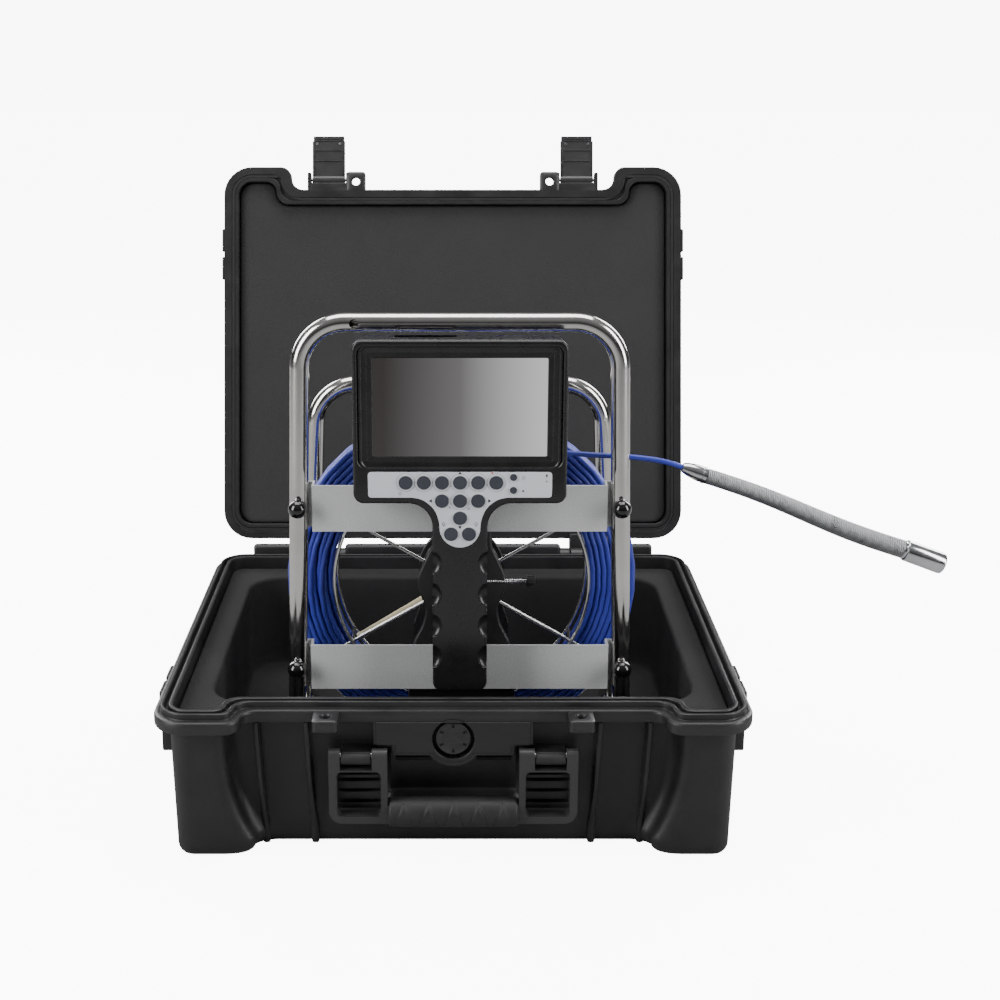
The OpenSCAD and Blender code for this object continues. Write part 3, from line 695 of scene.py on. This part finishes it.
def wall_inset(z):
    """How far the outer wall lies inside the rim: it drafts inwards, then turns under at the foot."""
    foot = max(FOOT_R - z, 0) / FOOT_R
    return mix(BODY_IN + 0.4, BODY_IN + DRAFT, wall_depth(z)) + 8 * (1 - sqrt(1 - foot ** 2))


def wall_y(z):
    return FRONT + RECESS + wall_inset(z)


def scoop(x, z):
    """How far the front wall is pushed in behind the carrying grip."""
    return 10 * ease((62 - abs(x)) / 8) * ease((z - 42) / 8) * ease((96 - z) / 4)


def case_ring(e, z, dent=0):
    return [(x, y + dent * scoop(x, z), z) for x, y in case_outline(e, wall_depth(z))]


def rim_ridge(e0, e1, low, high, r):
    """A rounded ridge across the rim, from its outer foot to its inner foot."""
    over = [(e0 + r - r * cos(a), high - r + r * sin(a)) for a in (0, pi / 6, pi / 3, pi / 2)]
    back = [(e1 - r + r * sin(a), high - r + r * cos(a)) for a in (0, pi / 6, pi / 3, pi / 2)]
    return [(e0 - 0.5, low), (e0, low + 0.7)] + over + back + [(e1, low + 0.7), (e1 + 0.5, low)]


def make_base():
    foot = [FOOT_R * (1 - sin(a)) for a in (pi / 2, pi / 2.5, pi / 3.3, pi / 5, pi / 10)]
    outside = [case_ring(wall_inset(z), z, 1) for z in foot + heights(FOOT_R, 118, 2)]
    lip = [(13, 121), (11.5, 123.5), (8, 124.6), (2, 125), (0.6, 125.6), (0, 127), (0, 134.5), (0.8, 136),
           (2.2, 136.6), (4.6, 136.8)]
    top = LIP_BOTTOM + 11.6
    rim = lip + rim_ridge(6, 9, top, BASE_TOP, 0.9) + rim_ridge(13, 17, top, BASE_TOP, 1)[:-1]
    over = [case_ring(e, z) for e, z in rim]
    inside = [case_ring(wall_inset(z) + WALL, z, 1) for z in heights(LIP_BOTTOM, 20, 2.5)]
    floor = [case_ring(28, 9.5)]
    shell = piece("base_shell", loft(outside + over + inside + floor), "case_plastic", "case", 30)
    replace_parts(shell, "case_base")


def section_d(x, wall, half, proud, power, z, back):
    """A rib's section, seen from above: a rounded front that stands proud of the wall."""
    ring = []
    for k in range(15):
        a = pi * k / 14
        across = half * abs(cos(a)) ** (2 / power) * (1 if cos(a) > 0 else -1)
        ring.append((x - across, wall - proud * sin(a) ** (2 / power), z))
    return ring + [(x + half, wall + back, z), (x - half, wall + back, z)]


def base_rib(side, x_top):
    """A rib down the recess: thin and deep above, low and round below, leaning in with the draft."""
    rings = []
    for z in heights(124.5, 1.2, 1.3):
        upper = ease((z - 24) / 7)
        end = sqrt(max(1 - (max(8 - z, 0) / 7.2) ** 2, 0.02))
        proud = mix(4.2, 4.5 + 8 * ease((z - 22) / 46), upper) * end
        half = mix(3.9 * (0.6 + 0.4 * end), 2.7, upper)
        x = side * (x_top + 1 - 5 * wall_depth(z))
        wall = wall_y(max(z, 10))
        rings.append(section_d(x, wall, half, proud, mix(2, 4, upper), z, wall_y(z) - wall + 1.5))
    return loft(rings)


def holed_slab(outline_at, x, y, radius, z0, z1, rounding):
    """A flat tab of four rounded corners with a round hole."""
    outer = [[(*p, z0) for p in outline_at(rounding)], [(*p, z0 + rounding) for p in outline_at(0)],
             [(*p, z1 - rounding) for p in outline_at(0)], [(*p, z1) for p in outline_at(rounding)]]
    count = len(outer[0])
    turns = [radians(360 * (i + 0.5) / count - 90) for i in range(count)]
    inner = [[(x + (radius + grow) * cos(a), y + (radius + grow) * sin(a), level) for a in turns]
             for grow, level in ((0.7, z1), (0, z1 - 0.7), (0, z0 + 0.7), (0.7, z0))]
    return closed_loft(outer + inner)


def along_x(shape, x, y, z):
    """Lays a shape drawn along Z down along X, starting at a point."""
    return aimed(shape, (x, y, z), (1, 0, 0))


def profile_x(outline, x0, x1, rounding):
    """Extrudes a drawing of (y, z) points along X; the outline is a function of its inset."""
    points, faces = slab(outline, x1 - x0, rounding)
    return [(x0 + z, x, y) for x, y, z in points], faces


def inset_polygon(corners, e):
    """A convex polygon drawn inwards by e, without changing its number of points."""
    cx = sum(x for x, y in corners) / len(corners)
    cy = sum(y for x, y in corners) / len(corners)
    inset = []
    for x, y in corners:
        share = e / hypot(x - cx, y - cy)
        inset.append((x - share * (x - cx), y - share * (y - cy)))
    return inset


TAB_X = 111
TAB_Y = FRONT + RECESS - 9.5
TAB_HOLE_R = 4.6
HINGE_X = 150
LUG_X = 85.5


def padlock_tab(side, z0, z1):
    x = side * TAB_X

    def outline(e):
        return rounded_rect(x - 11 + e, x + 11 - e, TAB_Y - 11 + e, TAB_Y + 13 - e, 3.5, 4)

    return holed_slab(outline, x, TAB_Y, TAB_HOLE_R, z0, z1, 0.8)


def hinge_arm(x0, x1, low, high):
    """A knuckle round the hinge pin with the arm that carries it."""
    barrel = along_x(lathe(pill(9, 0, x1 - x0, 1.2), 36), x0, HINGE.y, HINGE.z)
    arm = block(x0, x1, HALF_L - 6, HINGE.y + 1, low, high, 1.2)
    return joined(barrel, arm)


def make_base_fittings():
    ribs, tabs, hinges = [], [], []
    for side in (-1, 1):
        ribs += [base_rib(side, x) for x in (RECESS_HALF, 128)]
        tabs.append(padlock_tab(side, LIP_BOTTOM, LIP_BOTTOM + 11))
        wall, rim = side * (HALF_W - 9), side * (HALF_W - 1)
        tabs += [block(wall - 5, wall + 5, y, y + 6, 92, 126, 1.5) for y in (-174, -120, 60, 150)]
        tabs += [block(rim - 3.5, rim + 3.5, y, y + 26, 127.5, 135.5, 1.2) for y in (-146, -112)]
        hinges += [hinge_arm(side * HINGE_X + dx - 10, side * HINGE_X + dx + 10, HINGE.z - 6, HINGE.z + 4)
                   for dx in (-27, 27)]
        outer = sorted((side * 179, side * 224))
        hinges.append(block(*outer, HALF_L - 2, HALF_L + 8, 118, BASE_TOP + 8, 3.5))
    hinges.append(block(-121, 121, HALF_L - 2, HALF_L + 8, 118, BASE_TOP + 8, 3.5))
    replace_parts(piece("base_ribs", joined(*ribs), "case_plastic", "case", 45), "base_lugs")
    piece("base_tabs", joined(*tabs), "case_plastic", "case", 45)
    piece("base_hinges", joined(*hinges), "case_plastic", "case", 45)


def make_handle_seat():
    """The lugs the handle turns on, and the slats behind its windows."""
    rods, slats = [], []
    for side in (-1, 1):
        x = side * LUG_X
        axis_y, axis_z = HANDLE_AXIS.y, HANDLE_AXIS.z
        rods.append(along_x(lathe(pill(5.7, 0, 26.6, 0.8), 40), x - 13.3, axis_y, axis_z - 3))
        slats.append(block(x - 13.3, x + 13.3, axis_y - 1, wall_y(90) + 2, axis_z - 6, axis_z + 3, 1))
        slats.append(block(x - 15, x + 15, wall_y(76) - 8, wall_y(76) + 2, 77.5, 85, 1))
        slats += [block(side * 83 - 21, side * 83 + 21, wall_y(z) - 6.5, wall_y(z) + 2, z, z + tall, 1)
                  for z, tall in ((68, 4), (57.5, 8), (47, 8), (38, 6))]
    piece("handle_rods", joined(*rods), "grip_rubber", "case", 45)
    piece("handle_slats", joined(*slats), "case_plastic", "case", 45)


SHIELD_LOW = 93.6
SHIELD_FRONT = FRONT + RECESS + 0.4


def shield_outline(dip, arch, half):
    """The shield's edge: narrow below, between the handle's arms, and dipping round the valve in an arch."""
    low = SHIELD_LOW - dip
    swing = degrees(asin((VALVE.z - low) / arch))
    under = arc(VALVE.x, VALVE.z, arch, arch, 180 + swing, 360 - swing, 24)
    shoulder = arc(half - 2, low + 2, 2, 2, 270, 360, 4) + [(half, 104), (half + 16, 104)]
    return under + both_sides(shoulder + [(half + 16, LIP_BOTTOM + 1)])


def make_shield():
    """The set-off panel round the valve, which stands out level with the rim."""
    back = wall_y(100) + 2
    valve_hole = hole(arc(VALVE.x, VALVE.z, 18.6, 18.6, 0, 352.5, 47))
    shield = [shield_outline(0, 26, 54), valve_hole]
    step = [shield_outline(-3, 21.6, 51), valve_hole]
    flat_plate("valve_shield", shield, SHIELD_FRONT, back, 0.9, "case_plastic", "case")
    flat_plate("valve_step", step, SHIELD_FRONT - 0.9, back, 0.7, "case_plastic", "case")
    wall = wall_y(84)
    # Painted shade: flat black patches on the wall stand in for the shadow inside the drain slots.
    slot_shade = [block(x0, x1, wall - 0.4, wall + 12, 82.5, 86, 0.5) for x0, x1 in ((-51, -19), (20.4, 51.8))]
    piece("drain_slot_shade", joined(*slot_shade), "case_plastic", "case", material_name="deep_black")
    # Painted shade: a flat black disc behind the knob stands in for the shadow in the gap round it.
    floor = lathe([(0.01, 0), (19, 0), (19, 1.5), (0.01, 1.5)], 72)
    piece("valve_gap_shade", aimed(floor, (VALVE.x, VALVE.y + 4.5, VALVE.z), (0, -1, 0)), "case_plastic", "case",
          material_name="deep_black")


def make_lid():
    """The lid's shell, drawn closed as (inset, height) pairs, then opened."""
    outside = [(24, 204.5), (18, 204.4), (12.5, 203), (9, 199.5), (6.8, 194), (6.5, 190), (6, 157),
               (3, 155.6), (0.6, 155.1), (0, 154.2), (0, 144.2), (0.8, 143.1), (5.2, 143.05), (8.6, 143.05),
               (9, 143.6)]
    groove = [(9, 147), (12.5, 147), (12.5, 143.6), (12.9, 143.05)]
    inside = [(16.4, 143.05), (17, 143.8), (17, 194), (18.5, 199), (22, 200.5)]
    rings = [[(x, y, z) for x, y in case_outline(e)] for e, z in outside + groove + inside]
    shell = piece("lid_shell", loft(rings), "case_plastic", "lid", 30, matrix=OPEN)
    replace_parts(shell, "case_lid")


def latch_cheek(x):
    """One side of a latch's seat: a gusset that rises to the pin."""
    edge = FRONT + RECESS + 5
    tip = edge - 25
    shape = [(edge, 143.2), (tip + 1, 143.2), (tip, 146.5), (tip + 1.4, 152.5), (tip + 5, 155.4),
             (tip + 11, 156.2), (edge + 2, 162), (edge + 4, 156)]
    return profile_x(lambda e: inset_polygon(shape, e), x - 2, x + 2, 0.7)


def make_lid_fittings():
    parts, hinges, bumps = [], [], []
    for side in (-1, 1):
        x = joint_place("latch_left_swing").x * -side
        parts += [latch_cheek(x - 22), latch_cheek(x + 22)]
        parts.append(block(x - 21, x + 21, FRONT + RECESS - 8, FRONT + RECESS + 5, 143.2, 147, 0.8))
        parts.append(padlock_tab(side, LID_Z + 0.1, LID_Z + 8))
        hinges.append(hinge_arm(side * HINGE_X - 16.5, side * HINGE_X + 16.5, HINGE.z + 3, LID_Z + 9))
        rim = side * (HALF_W - 1)
        bumps += [block(rim - 3.5, rim + 3.5, y, y + 26, LID_Z + 1, LID_Z + 9.5, 1.2) for y in (-142, -110)]
    piece("latch_seats", joined(*parts), "case_plastic", "lid", 45, matrix=OPEN)
    piece("lid_hinges", joined(*hinges), "case_plastic", "lid", 45, matrix=OPEN)
    piece("lid_bumps", joined(*bumps), "case_plastic", "lid", 45, matrix=OPEN)


def make_foams():
    bottom = [case_ring(wall_inset(z) + WALL + 0.5, z) for z in (13, 15)]
    sides = [case_ring(wall_inset(z) + WALL + 0.5, z, 1) for z in heights(17, 127, 2.5)]
    top = [case_ring(19, 129.3), case_ring(21, 130)]
    lip = [(-3.5, 130), (-1.5, 129.5), (-0.4, 128.4), (0, 126.5)]
    well = [(0, z) for z in heights(110, 34, 15)] + [(0.8, 31), (2.5, 29), (6, 28)]
    inner = [[(x, y, z) for x, y in pocket_outline(e)] for e, z in lip + well]
    base = piece("base_foam_liner", loft(bottom + sides + top + inner), "foam", "case", 50)
    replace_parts(base, "base_foam")
    profile = [(22.5, 200.1), (19, 198.5), (17.5, 193), (17.5, 154), (18.2, 152), (19.8, 151.1), (23, 151)]
    rings = [[(x, y, z) for x, y in case_outline(e)] for e, z in profile]
    # Painted light: the lid's foam face takes the lighter copy of the foam.
    lid = piece("lid_foam_liner", loft(rings), "foam", "lid", 50, "lid_foam_lit_face", OPEN)
    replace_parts(lid, "lid_foam")


def make_grip():
    """The soft grip, with a zigzag of grooves across its front."""
    low, high = node_box("handle_grip")
    y, z = (low.y + high.y) / 2, (low.z + high.z) / 2
    half = (high.x - low.x) / 2
    pitch, around = 22, 96
    rings = []
    for x in heights(-half, half, 0.8):
        end = min((half - abs(x)) / 2.5, 1)
        radius = (12.9 + 0.5 * cos(pi * x / half / 2)) * (0.86 + 0.14 * sqrt(1 - (1 - end) ** 2))
        ring = []
        for k in range(around):
            a = 2 * pi * k / around
            tall = (a + pi) % (2 * pi) - pi
            zigzag = abs((x / pitch) % 1 - 0.5) * pitch
            gap = zigzag - (tall + 1.1) / 2.2 * pitch / 2
            cut = 0.8 * exp(-(gap / 0.75) ** 2) * ease((1.15 - abs(tall)) * 6) * ease((half - 5 - abs(x)) / 3)
            r = radius - cut
            ring.append((x, y - r * cos(a) * 0.94, z + r * sin(a)))
        rings.append(ring)
    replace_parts(piece("soft_grip", loft(rings), "grip_rubber", "handle", 60), "handle_grip")


make_base()
make_base_fittings()
make_handle_seat()
make_shield()
make_lid()
make_lid_fittings()
make_foams()
make_grip()


# ---- Monitor ----
SCREEN_LOW, SCREEN_HIGH = node_box("display")
# How far the bezel laps over the screen's edge.
SCREEN_LAP = 3
KEYS_FRONT = node_box("keypad_fascia")[0].y


def housing_outline():
    """The monitor's front: a wide housing whose lower edge sweeps in to the grip."""
    half, grip = (MONITOR_HIGH.x - MONITOR_LOW.x) / 2 + 1.2, 24.7
    shoulder, sweep, corner, foot = 303, 22, 9, 8
    right = arc(grip - foot, MONITOR_LOW.z + foot, foot, foot, 270, 360, 6)
    right += arc(grip + sweep, shoulder - sweep, sweep, sweep, 180, 90, 12)
    right += arc(half - corner, shoulder + corner, corner, corner, 270, 360, 8)
    right += arc(half - corner, MONITOR_HIGH.z - corner + 0.6, corner, corner, 0, 90, 8)
    return both_sides(right, MONITOR_X)


def cut_with(obj, shape):
    """Cuts a shape out of an object for good."""
    points, faces = shape
    mesh = bpy.data.meshes.new("cutter")
    mesh.from_pydata([Vector(p) * MM for p in points], [], faces)
    cutter = linked("cutter", mesh)
    change = obj.modifiers.new("cut", "BOOLEAN")
    change.object = cutter
    change.solver = "EXACT"
    result = evaluated_mesh(obj)
    obj.modifiers.clear()
    obj.data = result
    bpy.data.objects.remove(cutter)
    smooth_faces(result, 35)


def ellipsoid(x, y, z, rx, ry, rz, sides=40, rows=20):
    rings = []
    for i in range(rows + 1):
        a = mix(-pi / 2 + 0.05, pi / 2 - 0.05, i / rows)
        rings.append([(x + rx * cos(a) * cos(2 * pi * k / sides), y + ry * cos(a) * sin(2 * pi * k / sides),
                       z + rz * sin(a)) for k in range(sides)])
    return loft(rings)


def frame_loft(x0, x1, z0, z1, corner, steps):
    """A rounded rectangular frame swept through (inset, y) steps, closed into a ring."""
    rings = [[(x, y, z) for x, z in rounded_rect(x0 + e, x1 - e, z0 + e, z1 - e, max(corner - e, 1.2), 8)]
             for e, y in steps]
    return closed_loft(rings)


def make_monitor():
    """The front shell with its finger notches, the stepped bezel round the screen, and the hump behind."""
    border_x, border_z, corner = 13, 9.5, 7
    x0, x1 = SCREEN_LOW.x + SCREEN_LAP - border_x, SCREEN_HIGH.x - SCREEN_LAP + border_x
    z0, z1 = SCREEN_LOW.z + SCREEN_LAP - border_z, SCREEN_HIGH.z - SCREEN_LAP + border_z
    window = hole(rounded_rect(x0, x1, z0, z1, corner, 6))
    shell = flat_plate("monitor_front", [housing_outline(), window], MONITOR_FRONT, MONITOR_BACK, 2.6,
                       "monitor_plastic", "monitor")
    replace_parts(shell, "front_housing")
    notches = [ellipsoid(MONITOR_X + side * 25.5, MONITOR_FRONT - 0.6, z, 9.4, 6, 11.6)
               for side in (-1, 1) for z in (247, 217, 187, 157)]
    cut_with(shell, joined(*notches))
    glass = SCREEN_LOW.y
    steps = [(-2.5, MONITOR_BACK - 2), (-2.5, MONITOR_FRONT + 1.6), (-1.4, MONITOR_FRONT + 0.5),
             (-0.5, MONITOR_FRONT + 0.5), (0.2, MONITOR_FRONT + 1.1), (4.4, MONITOR_FRONT + 1.4),
             (5.2, MONITOR_FRONT + 1.9), (9.2, glass - 0.6), (9.9, glass - 0.1), (10.5, glass + 0.6),
             (4, MONITOR_BACK - 2)]
    bezel = frame_loft(x0 + 3, x1 - 3, z0, z1, corner, steps)
    piece("monitor_bezel", bezel, "monitor_plastic", "monitor", 30)
    hump_w, hump_low, hump_top, hump_back = 61, 330, 451, node_box("front_frame")[0].y - 2
    hump = block(MONITOR_X - hump_w, MONITOR_X, MONITOR_BACK, hump_back, hump_low, hump_top, 3, 12)
    piece("monitor_hump", hump, "monitor_plastic", "monitor")


def fascia_outline():
    """A wide strip that narrows in a smooth funnel round the lower keys."""
    low, high = node_box("keypad_fascia")
    half, strip, round_r = (high.x - low.x) / 2, 309, 18.2
    centre = low.z + round_r
    right = arc(0, centre, round_r, round_r, -90, 0, 16)
    knots = [(round_r, 0, centre - 4), (round_r, 0, centre), (19.4, 0, 289), (24, 0, 299), (33, 0, 306.5),
             (43, 0, strip), (52, 0, strip)]
    right += [(p.x, p.z) for p in smooth_line(knots, 5) if p.z > centre + 0.5 and p.x < 45]
    right += arc(half - 3, strip + 3, 3, 3, 270, 360, 5) + arc(half - 3, high.z - 3, 3, 3, 0, 90, 5)
    return both_sides(right, MONITOR_X)


def make_fascia():
    low, high = node_box("keypad_fascia")
    sheet = flat_plate("fascia_sheet", [fascia_outline()], low.y, high.y, 0.25, "fascia_plastic", "monitor")
    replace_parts(sheet, "keypad_fascia")


def printed(name, shapes, material_name):
    """Printing on the keypad: thin shapes drawn on XY, stood up on the fascia's face."""
    piece(name, upright(joined(*shapes), KEYS_FRONT - 0.12), "fascia_plastic", "monitor",
          material_name=material_name)


INK = 0.2
KEY_RING = (6.5, 7.9)
KEY_LINE = (8.15, 8.4)
SMALL_RING = (3.3, 4.3)
ICON_RING = (1.1, 1.4)


def dot(x, z, r):
    return shifted(lathe([(0.01, 0), (r, 0), (r, INK), (0.01, INK)], 20), x, z)


def hoop_mark(x, z, radii):
    inner, outer = radii
    return shifted(washer([(inner, 0), (outer, 0), (outer, INK), (inner, INK)], 48), x, z)


def arrow(x, z, turn, size=1.9):
    turns = [turn + 2 * pi * k / 3 for k in range(3)]
    return loft([[(x + size * cos(a), z + size * sin(a), level) for a in turns] for level in (0, INK)])


def middles(prefix, count):
    """The middles of a row of numbered nodes."""
    boxes = [node_box(f"{prefix}_{i}") for i in range(1, count + 1)]
    return [(low + high) / 2 for low, high in boxes]


def make_printing():
    """The keypad's symbols: rings round the keys, arrows, lamps and small icons."""
    keys, small = middles("key", 12), middles("side_key", 2)
    pale = [hoop_mark(k.x, k.z, KEY_RING) for k in keys] + [hoop_mark(k.x, k.z, SMALL_RING) for k in small]
    thin = [hoop_mark(k.x, k.z, KEY_LINE) for k in keys[:6] + [keys[7]]]
    top, record = keys[3], keys[5]
    left, middle, right, below = keys[6:10]
    dark = [arrow(left.x - 9.9, left.z, pi), arrow(right.x + 9.9, right.z, 0)]
    dark += [arrow(top.x, top.z + 8.6, pi / 2), arrow(below.x, below.z - 8.3, -pi / 2)]
    dark.append(arrow(middle.x - 9, middle.z - 6.3, 0, 0.9))
    for x in (keys[10].x - 6.5, keys[11].x + 6.5):
        lamp_z = keys[10].z + 9.6
        dark += [hoop_mark(x, lamp_z, ICON_RING), dot(x, lamp_z - 1.9, 0.45)]
    dark.append(hoop_mark(small[0].x + 9, small[0].z - 0.6, ICON_RING))
    dark.append(dot(small[1].x + 8.6, small[1].z - 0.8, 0.9))
    dark.append(hoop_mark(keys[0].x - 5, keys[0].z - 10.2, (1, 1.3)))
    dark.append(hoop_mark(middle.x + 7.6, middle.z - 7, (0.8, 1.1)))
    end = SCREEN_HIGH.x - 3
    dark += [dot(end, top.z + 7, 0.75), dot(end, top.z + 5.8, 0.75), dot(end, top.z + 1.2, 0.6)]
    printed("print_pale", pale, "mark_white")
    printed("print_thin", thin, "mark_grey")
    printed("print_dark", dark, "mark_dark")
    printed("print_red", [dot(record.x - 3.8, top.z + 9, 0.75)], "mark_red")


# ---- Reel stand: knobs, brake and pedestal ----
def make_knobs():
    """Glossy balls with a flat base, on short collars against the tubes."""
    radius, flat = 8.7, 5.2
    collar = [(0.01, -1), (6.2, -1), (6.6, -0.6), (6.6, -0.2), (6.9, 0)]
    turns = heights(-asin(flat / radius), pi / 2 - 0.03, 0.08)
    ball = [(radius * cos(a), radius * sin(a) + flat) for a in turns] + [(0.01, radius + flat)]
    tube_front = node_box("front_frame")[0].y
    for corner in ("upper_left", "upper_right", "lower_left", "lower_right"):
        joint = f"ball_{corner}_turn"
        place = joint_place(joint)
        shape = aimed(lathe(collar + ball, 56), (place.x, tube_front, place.z), (0, -1, 0))
        body = JOINTS[joint]["child"]
        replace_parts(piece(f"ball_knob_{corner}", shape, "knob_plastic", body, 50), f"knob_{corner}")


def make_brake():
    """The brake's thumb screw: a threaded rod with a knurled cap."""
    low, high = node_box("brake_screw")
    y, z = (low.y + high.y) / 2, (low.z + high.z) / 2
    rod_r, cap_l, cap_r, knurl, sides, threads = 1.9, 8, 5.3, 0.25, 60, 27
    rod_l = high.x - low.x - cap_l
    rod = [(0.01, 0), (rod_r, 0), (rod_r, rod_l), (0.01, rod_l)]
    starts = [mix(1.5, rod_l - 1, i / (threads - 1)) for i in range(threads)]
    ridges = [washer([(1.8, s), (2.25, s + 0.6), (1.8, s + 1.2)], 20) for s in starts]
    shape = along_x(joined(lathe(rod, 20), *ridges), low.x, y, z)
    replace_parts(piece("brake_shaft", shape, "pin_steel", "brake", 60), "brake_screw")
    rings = []
    for s, inset in ((0, 0.4), (0.4, 0), (cap_l - 0.5, 0), (cap_l, 0.6)):
        radii = [cap_r - inset + knurl * (-1) ** (k // 2) for k in range(sides)]
        rings.append([(r * cos(2 * pi * k / sides), r * sin(2 * pi * k / sides), s)
                      for k, r in enumerate(radii)])
    piece("brake_cap", along_x(loft(rings), high.x - cap_l, y, z), "reel_plastic", "brake", 40)


def make_pedestal():
    """The front pedestal: a plate that swells round the axle and flares towards its feet."""
    low, high = node_box("front_pedestal")
    knots = [(27, 0, 262), (28, 0, 246), (34, 0, 232), (41, 0, 214), (39.5, 0, 199), (34, 0, 184),
             (37, 0, 167), (46, 0, 147), (50, 0, 115), (52, 0, low.z + 8), (52, 0, low.z)]
    side = [(p.x, p.z) for p in smooth_line(knots, 4)]
    outline = both_sides(side[::-1], REEL.x)
    back, thick = high.y - 0.5, 7
    plate = flat_plate("pedestal_plate", [outline], back - thick, back, 1.8, "reel_plastic", "reel_stand")
    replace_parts(plate, "front_pedestal")
    profile = [(0.01, 0), (15, 0), (15, 2.6), (13.6, 4), (8, 4), (7.4, 3.4), (7.4, 2), (0.01, 2)]
    boss = aimed(lathe(profile), (REEL.x, high.y - thick, REEL.z), (0, -1, 0))
    piece("pedestal_boss", boss, "reel_plastic", "reel_stand")


# ---- Latches ----
def make_latch_details():
    """Bright rivets and fine ribs on the inside of each latch."""
    face = 146.8
    pivot_y = FRONT + RECESS - 12
    rivet_y = pivot_y - 41
    rivet = [(0.01, -0.8), (1.9, -0.8), (1.9, 0.1), (1.5, 0.6), (0.01, 0.8)]
    for name, side in LATCHES:
        x = side * abs(joint_place("latch_left_swing").x)
        body = NODES[name]["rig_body"]
        rivets = [aimed(lathe(rivet, 20), (x + dx, rivet_y, face), (0, 0, -1)) for dx in (-13, 13)]
        piece(f"{name}_rivets", joined(*rivets), "pin_steel", body, matrix=OPEN)
        bars = []
        for y in (rivet_y - 6.5, rivet_y - 4.2, rivet_y + 7, rivet_y + 19):
            bars.append(block(x - 15, x + 15, y, y + 1.1, face - 0.7, face + 0.4, 0.3))
        for edge in (x - 16.5, x + 16.5):
            bars.append(block(edge - 0.7, edge + 0.7, rivet_y + 8, rivet_y + 38, face - 0.6, face + 0.4, 0.3))
        piece(f"{name}_bars", joined(*bars), "latch_plastic", body, matrix=OPEN)


make_monitor()
make_fascia()
make_printing()
make_knobs()
make_brake()
make_pedestal()
make_latch_details()


# ---- CAD nodes kept as they are: a small bevel and their slot's material ----
BEVELS = {
    "latch_left": 0.9, "latch_right": 0.9, "carry_handle": 1.6, "valve_knob": 0.6, "upper_plate": 0.35,
    "lower_plate": 0.35, "axle": 0.6, "rear_pedestal": 1, "slip_ring": 0.8, "reel_hub": 0.8,
    "rear_housing": 1.2, "housing_screws": 0.3, "lead_in_tube": 0.4, "hub_bushes": 0.4, "frame_rails": 0.8
}
KEY_NODES = [name for name in NODES if "key_" in name]


def dress_nodes():
    for name, node in NODES.items():
        made = MATERIALS[node.data.materials[0].name.split(".")[0]]
        node.data.materials.clear()
        node.data.materials.append(made)
        width = BEVELS.get(name, 0.45 if name in KEY_NODES else 0)
        if width and not node.hide_render:
            soften = node.modifiers.new("edges", "BEVEL")
            soften.width = width * MM
            soften.segments = 3
            soften.limit_method = "ANGLE"
            soften.angle_limit = radians(40)
            soften.harden_normals = True


dress_nodes()


# ---- Stage: a pale floor, soft lights and a plain world ----
FLOOR_GLOW = 9


def seen_as(tree, seen, otherwise):
    """One shader for what the camera sees, and another for what the light meets."""
    path = add_node(tree, "LightPath")
    choose = add_node(tree, "MixShader")
    node_link(tree, path.outputs["Is Camera Ray"], choose.inputs["Fac"])
    node_link(tree, otherwise, choose.inputs[1])
    node_link(tree, seen, choose.inputs[2])
    return choose.outputs["Shader"]


def make_floor():
    made = bpy.data.materials.new("floor_white")
    made.use_nodes = True
    tree = made.node_tree
    shader = tree.nodes["Principled BSDF"]
    tone = two_colours(tree, noise(tree, 0.8, 2), (0.86, 0.86, 0.86), (0.88, 0.88, 0.88))
    node_link(tree, tone, shader.inputs["Base Color"])
    shader.inputs["Roughness"].default_value = 0.7
    shader.inputs["Specular IOR Level"].default_value = 0
    shader.inputs["Emission Color"].default_value = (1, 1, 1, 1)
    shader.inputs["Emission Strength"].default_value = FLOOR_GLOW
    dim = add_node(tree, "BsdfDiffuse", Color=(0.3, 0.3, 0.3, 1))
    both = seen_as(tree, shader.outputs["BSDF"], dim.outputs["BSDF"])
    node_link(tree, both, tree.nodes["Material Output"].inputs["Surface"])
    mesh = bpy.data.meshes.new("floor")
    reach = 12
    mesh.from_pydata([(-reach, -reach, 0), (reach, -reach, 0), (reach, reach, 0), (-reach, reach, 0)], [],
                     [(0, 1, 2, 3)])
    mesh.materials.append(made)
    return linked("floor", mesh)


def softbox(name, place, target, width, height, power):
    data = bpy.data.lights.new(name, "AREA")
    data.shape = "RECTANGLE"
    data.size, data.size_y = width, height
    data.energy = power
    light = linked(name, data)
    light.location = place
    light.rotation_euler = (Vector(target) - Vector(place)).to_track_quat("-Z", "Y").to_euler()
    return light


def make_world():
    world = bpy.data.worlds.new("studio")
    SCENE.world = world
    world.use_nodes = True
    tree = world.node_tree
    ground = tree.nodes["Background"]
    place = add_node(tree, "TexCoord")
    axes = add_node(tree, "SeparateXYZ")
    node_link(tree, place.outputs["Generated"], axes.inputs["Vector"])
    shade = two_colours(tree, axes.outputs["Z"], (0.1, 0.1, 0.105), (0.9, 0.9, 0.92), 0, 0.8)
    node_link(tree, shade, ground.inputs["Color"])
    ground.inputs["Strength"].default_value = 0.3
    seen = add_node(tree, "Background", Color=(1, 1, 1, 1), Strength=FLOOR_GLOW)
    both = seen_as(tree, seen.outputs["Background"], ground.outputs["Background"])
    node_link(tree, both, tree.nodes["World Output"].inputs["Surface"])


def make_lights():
    centre = (0, 0, 0.2)
    return [
        softbox("light_left", (-1.9, -1.2, 1.1), centre, 0.9, 1.8, 45),
        softbox("light_right", (1.9, -0.9, 1.0), centre, 0.7, 1.8, 35),
        softbox("light_top", (0, 0.1, 2.2), centre, 2.0, 1.4, 50),
        softbox("light_back_left", (-1.5, 1.6, 1.2), (0, 0, 0.35), 0.8, 1.6, 40),
        softbox("light_back_right", (1.5, 1.6, 1.2), (0, 0, 0.35), 0.8, 1.6, 40)
    ]


make_world()
make_floor()
make_lights()
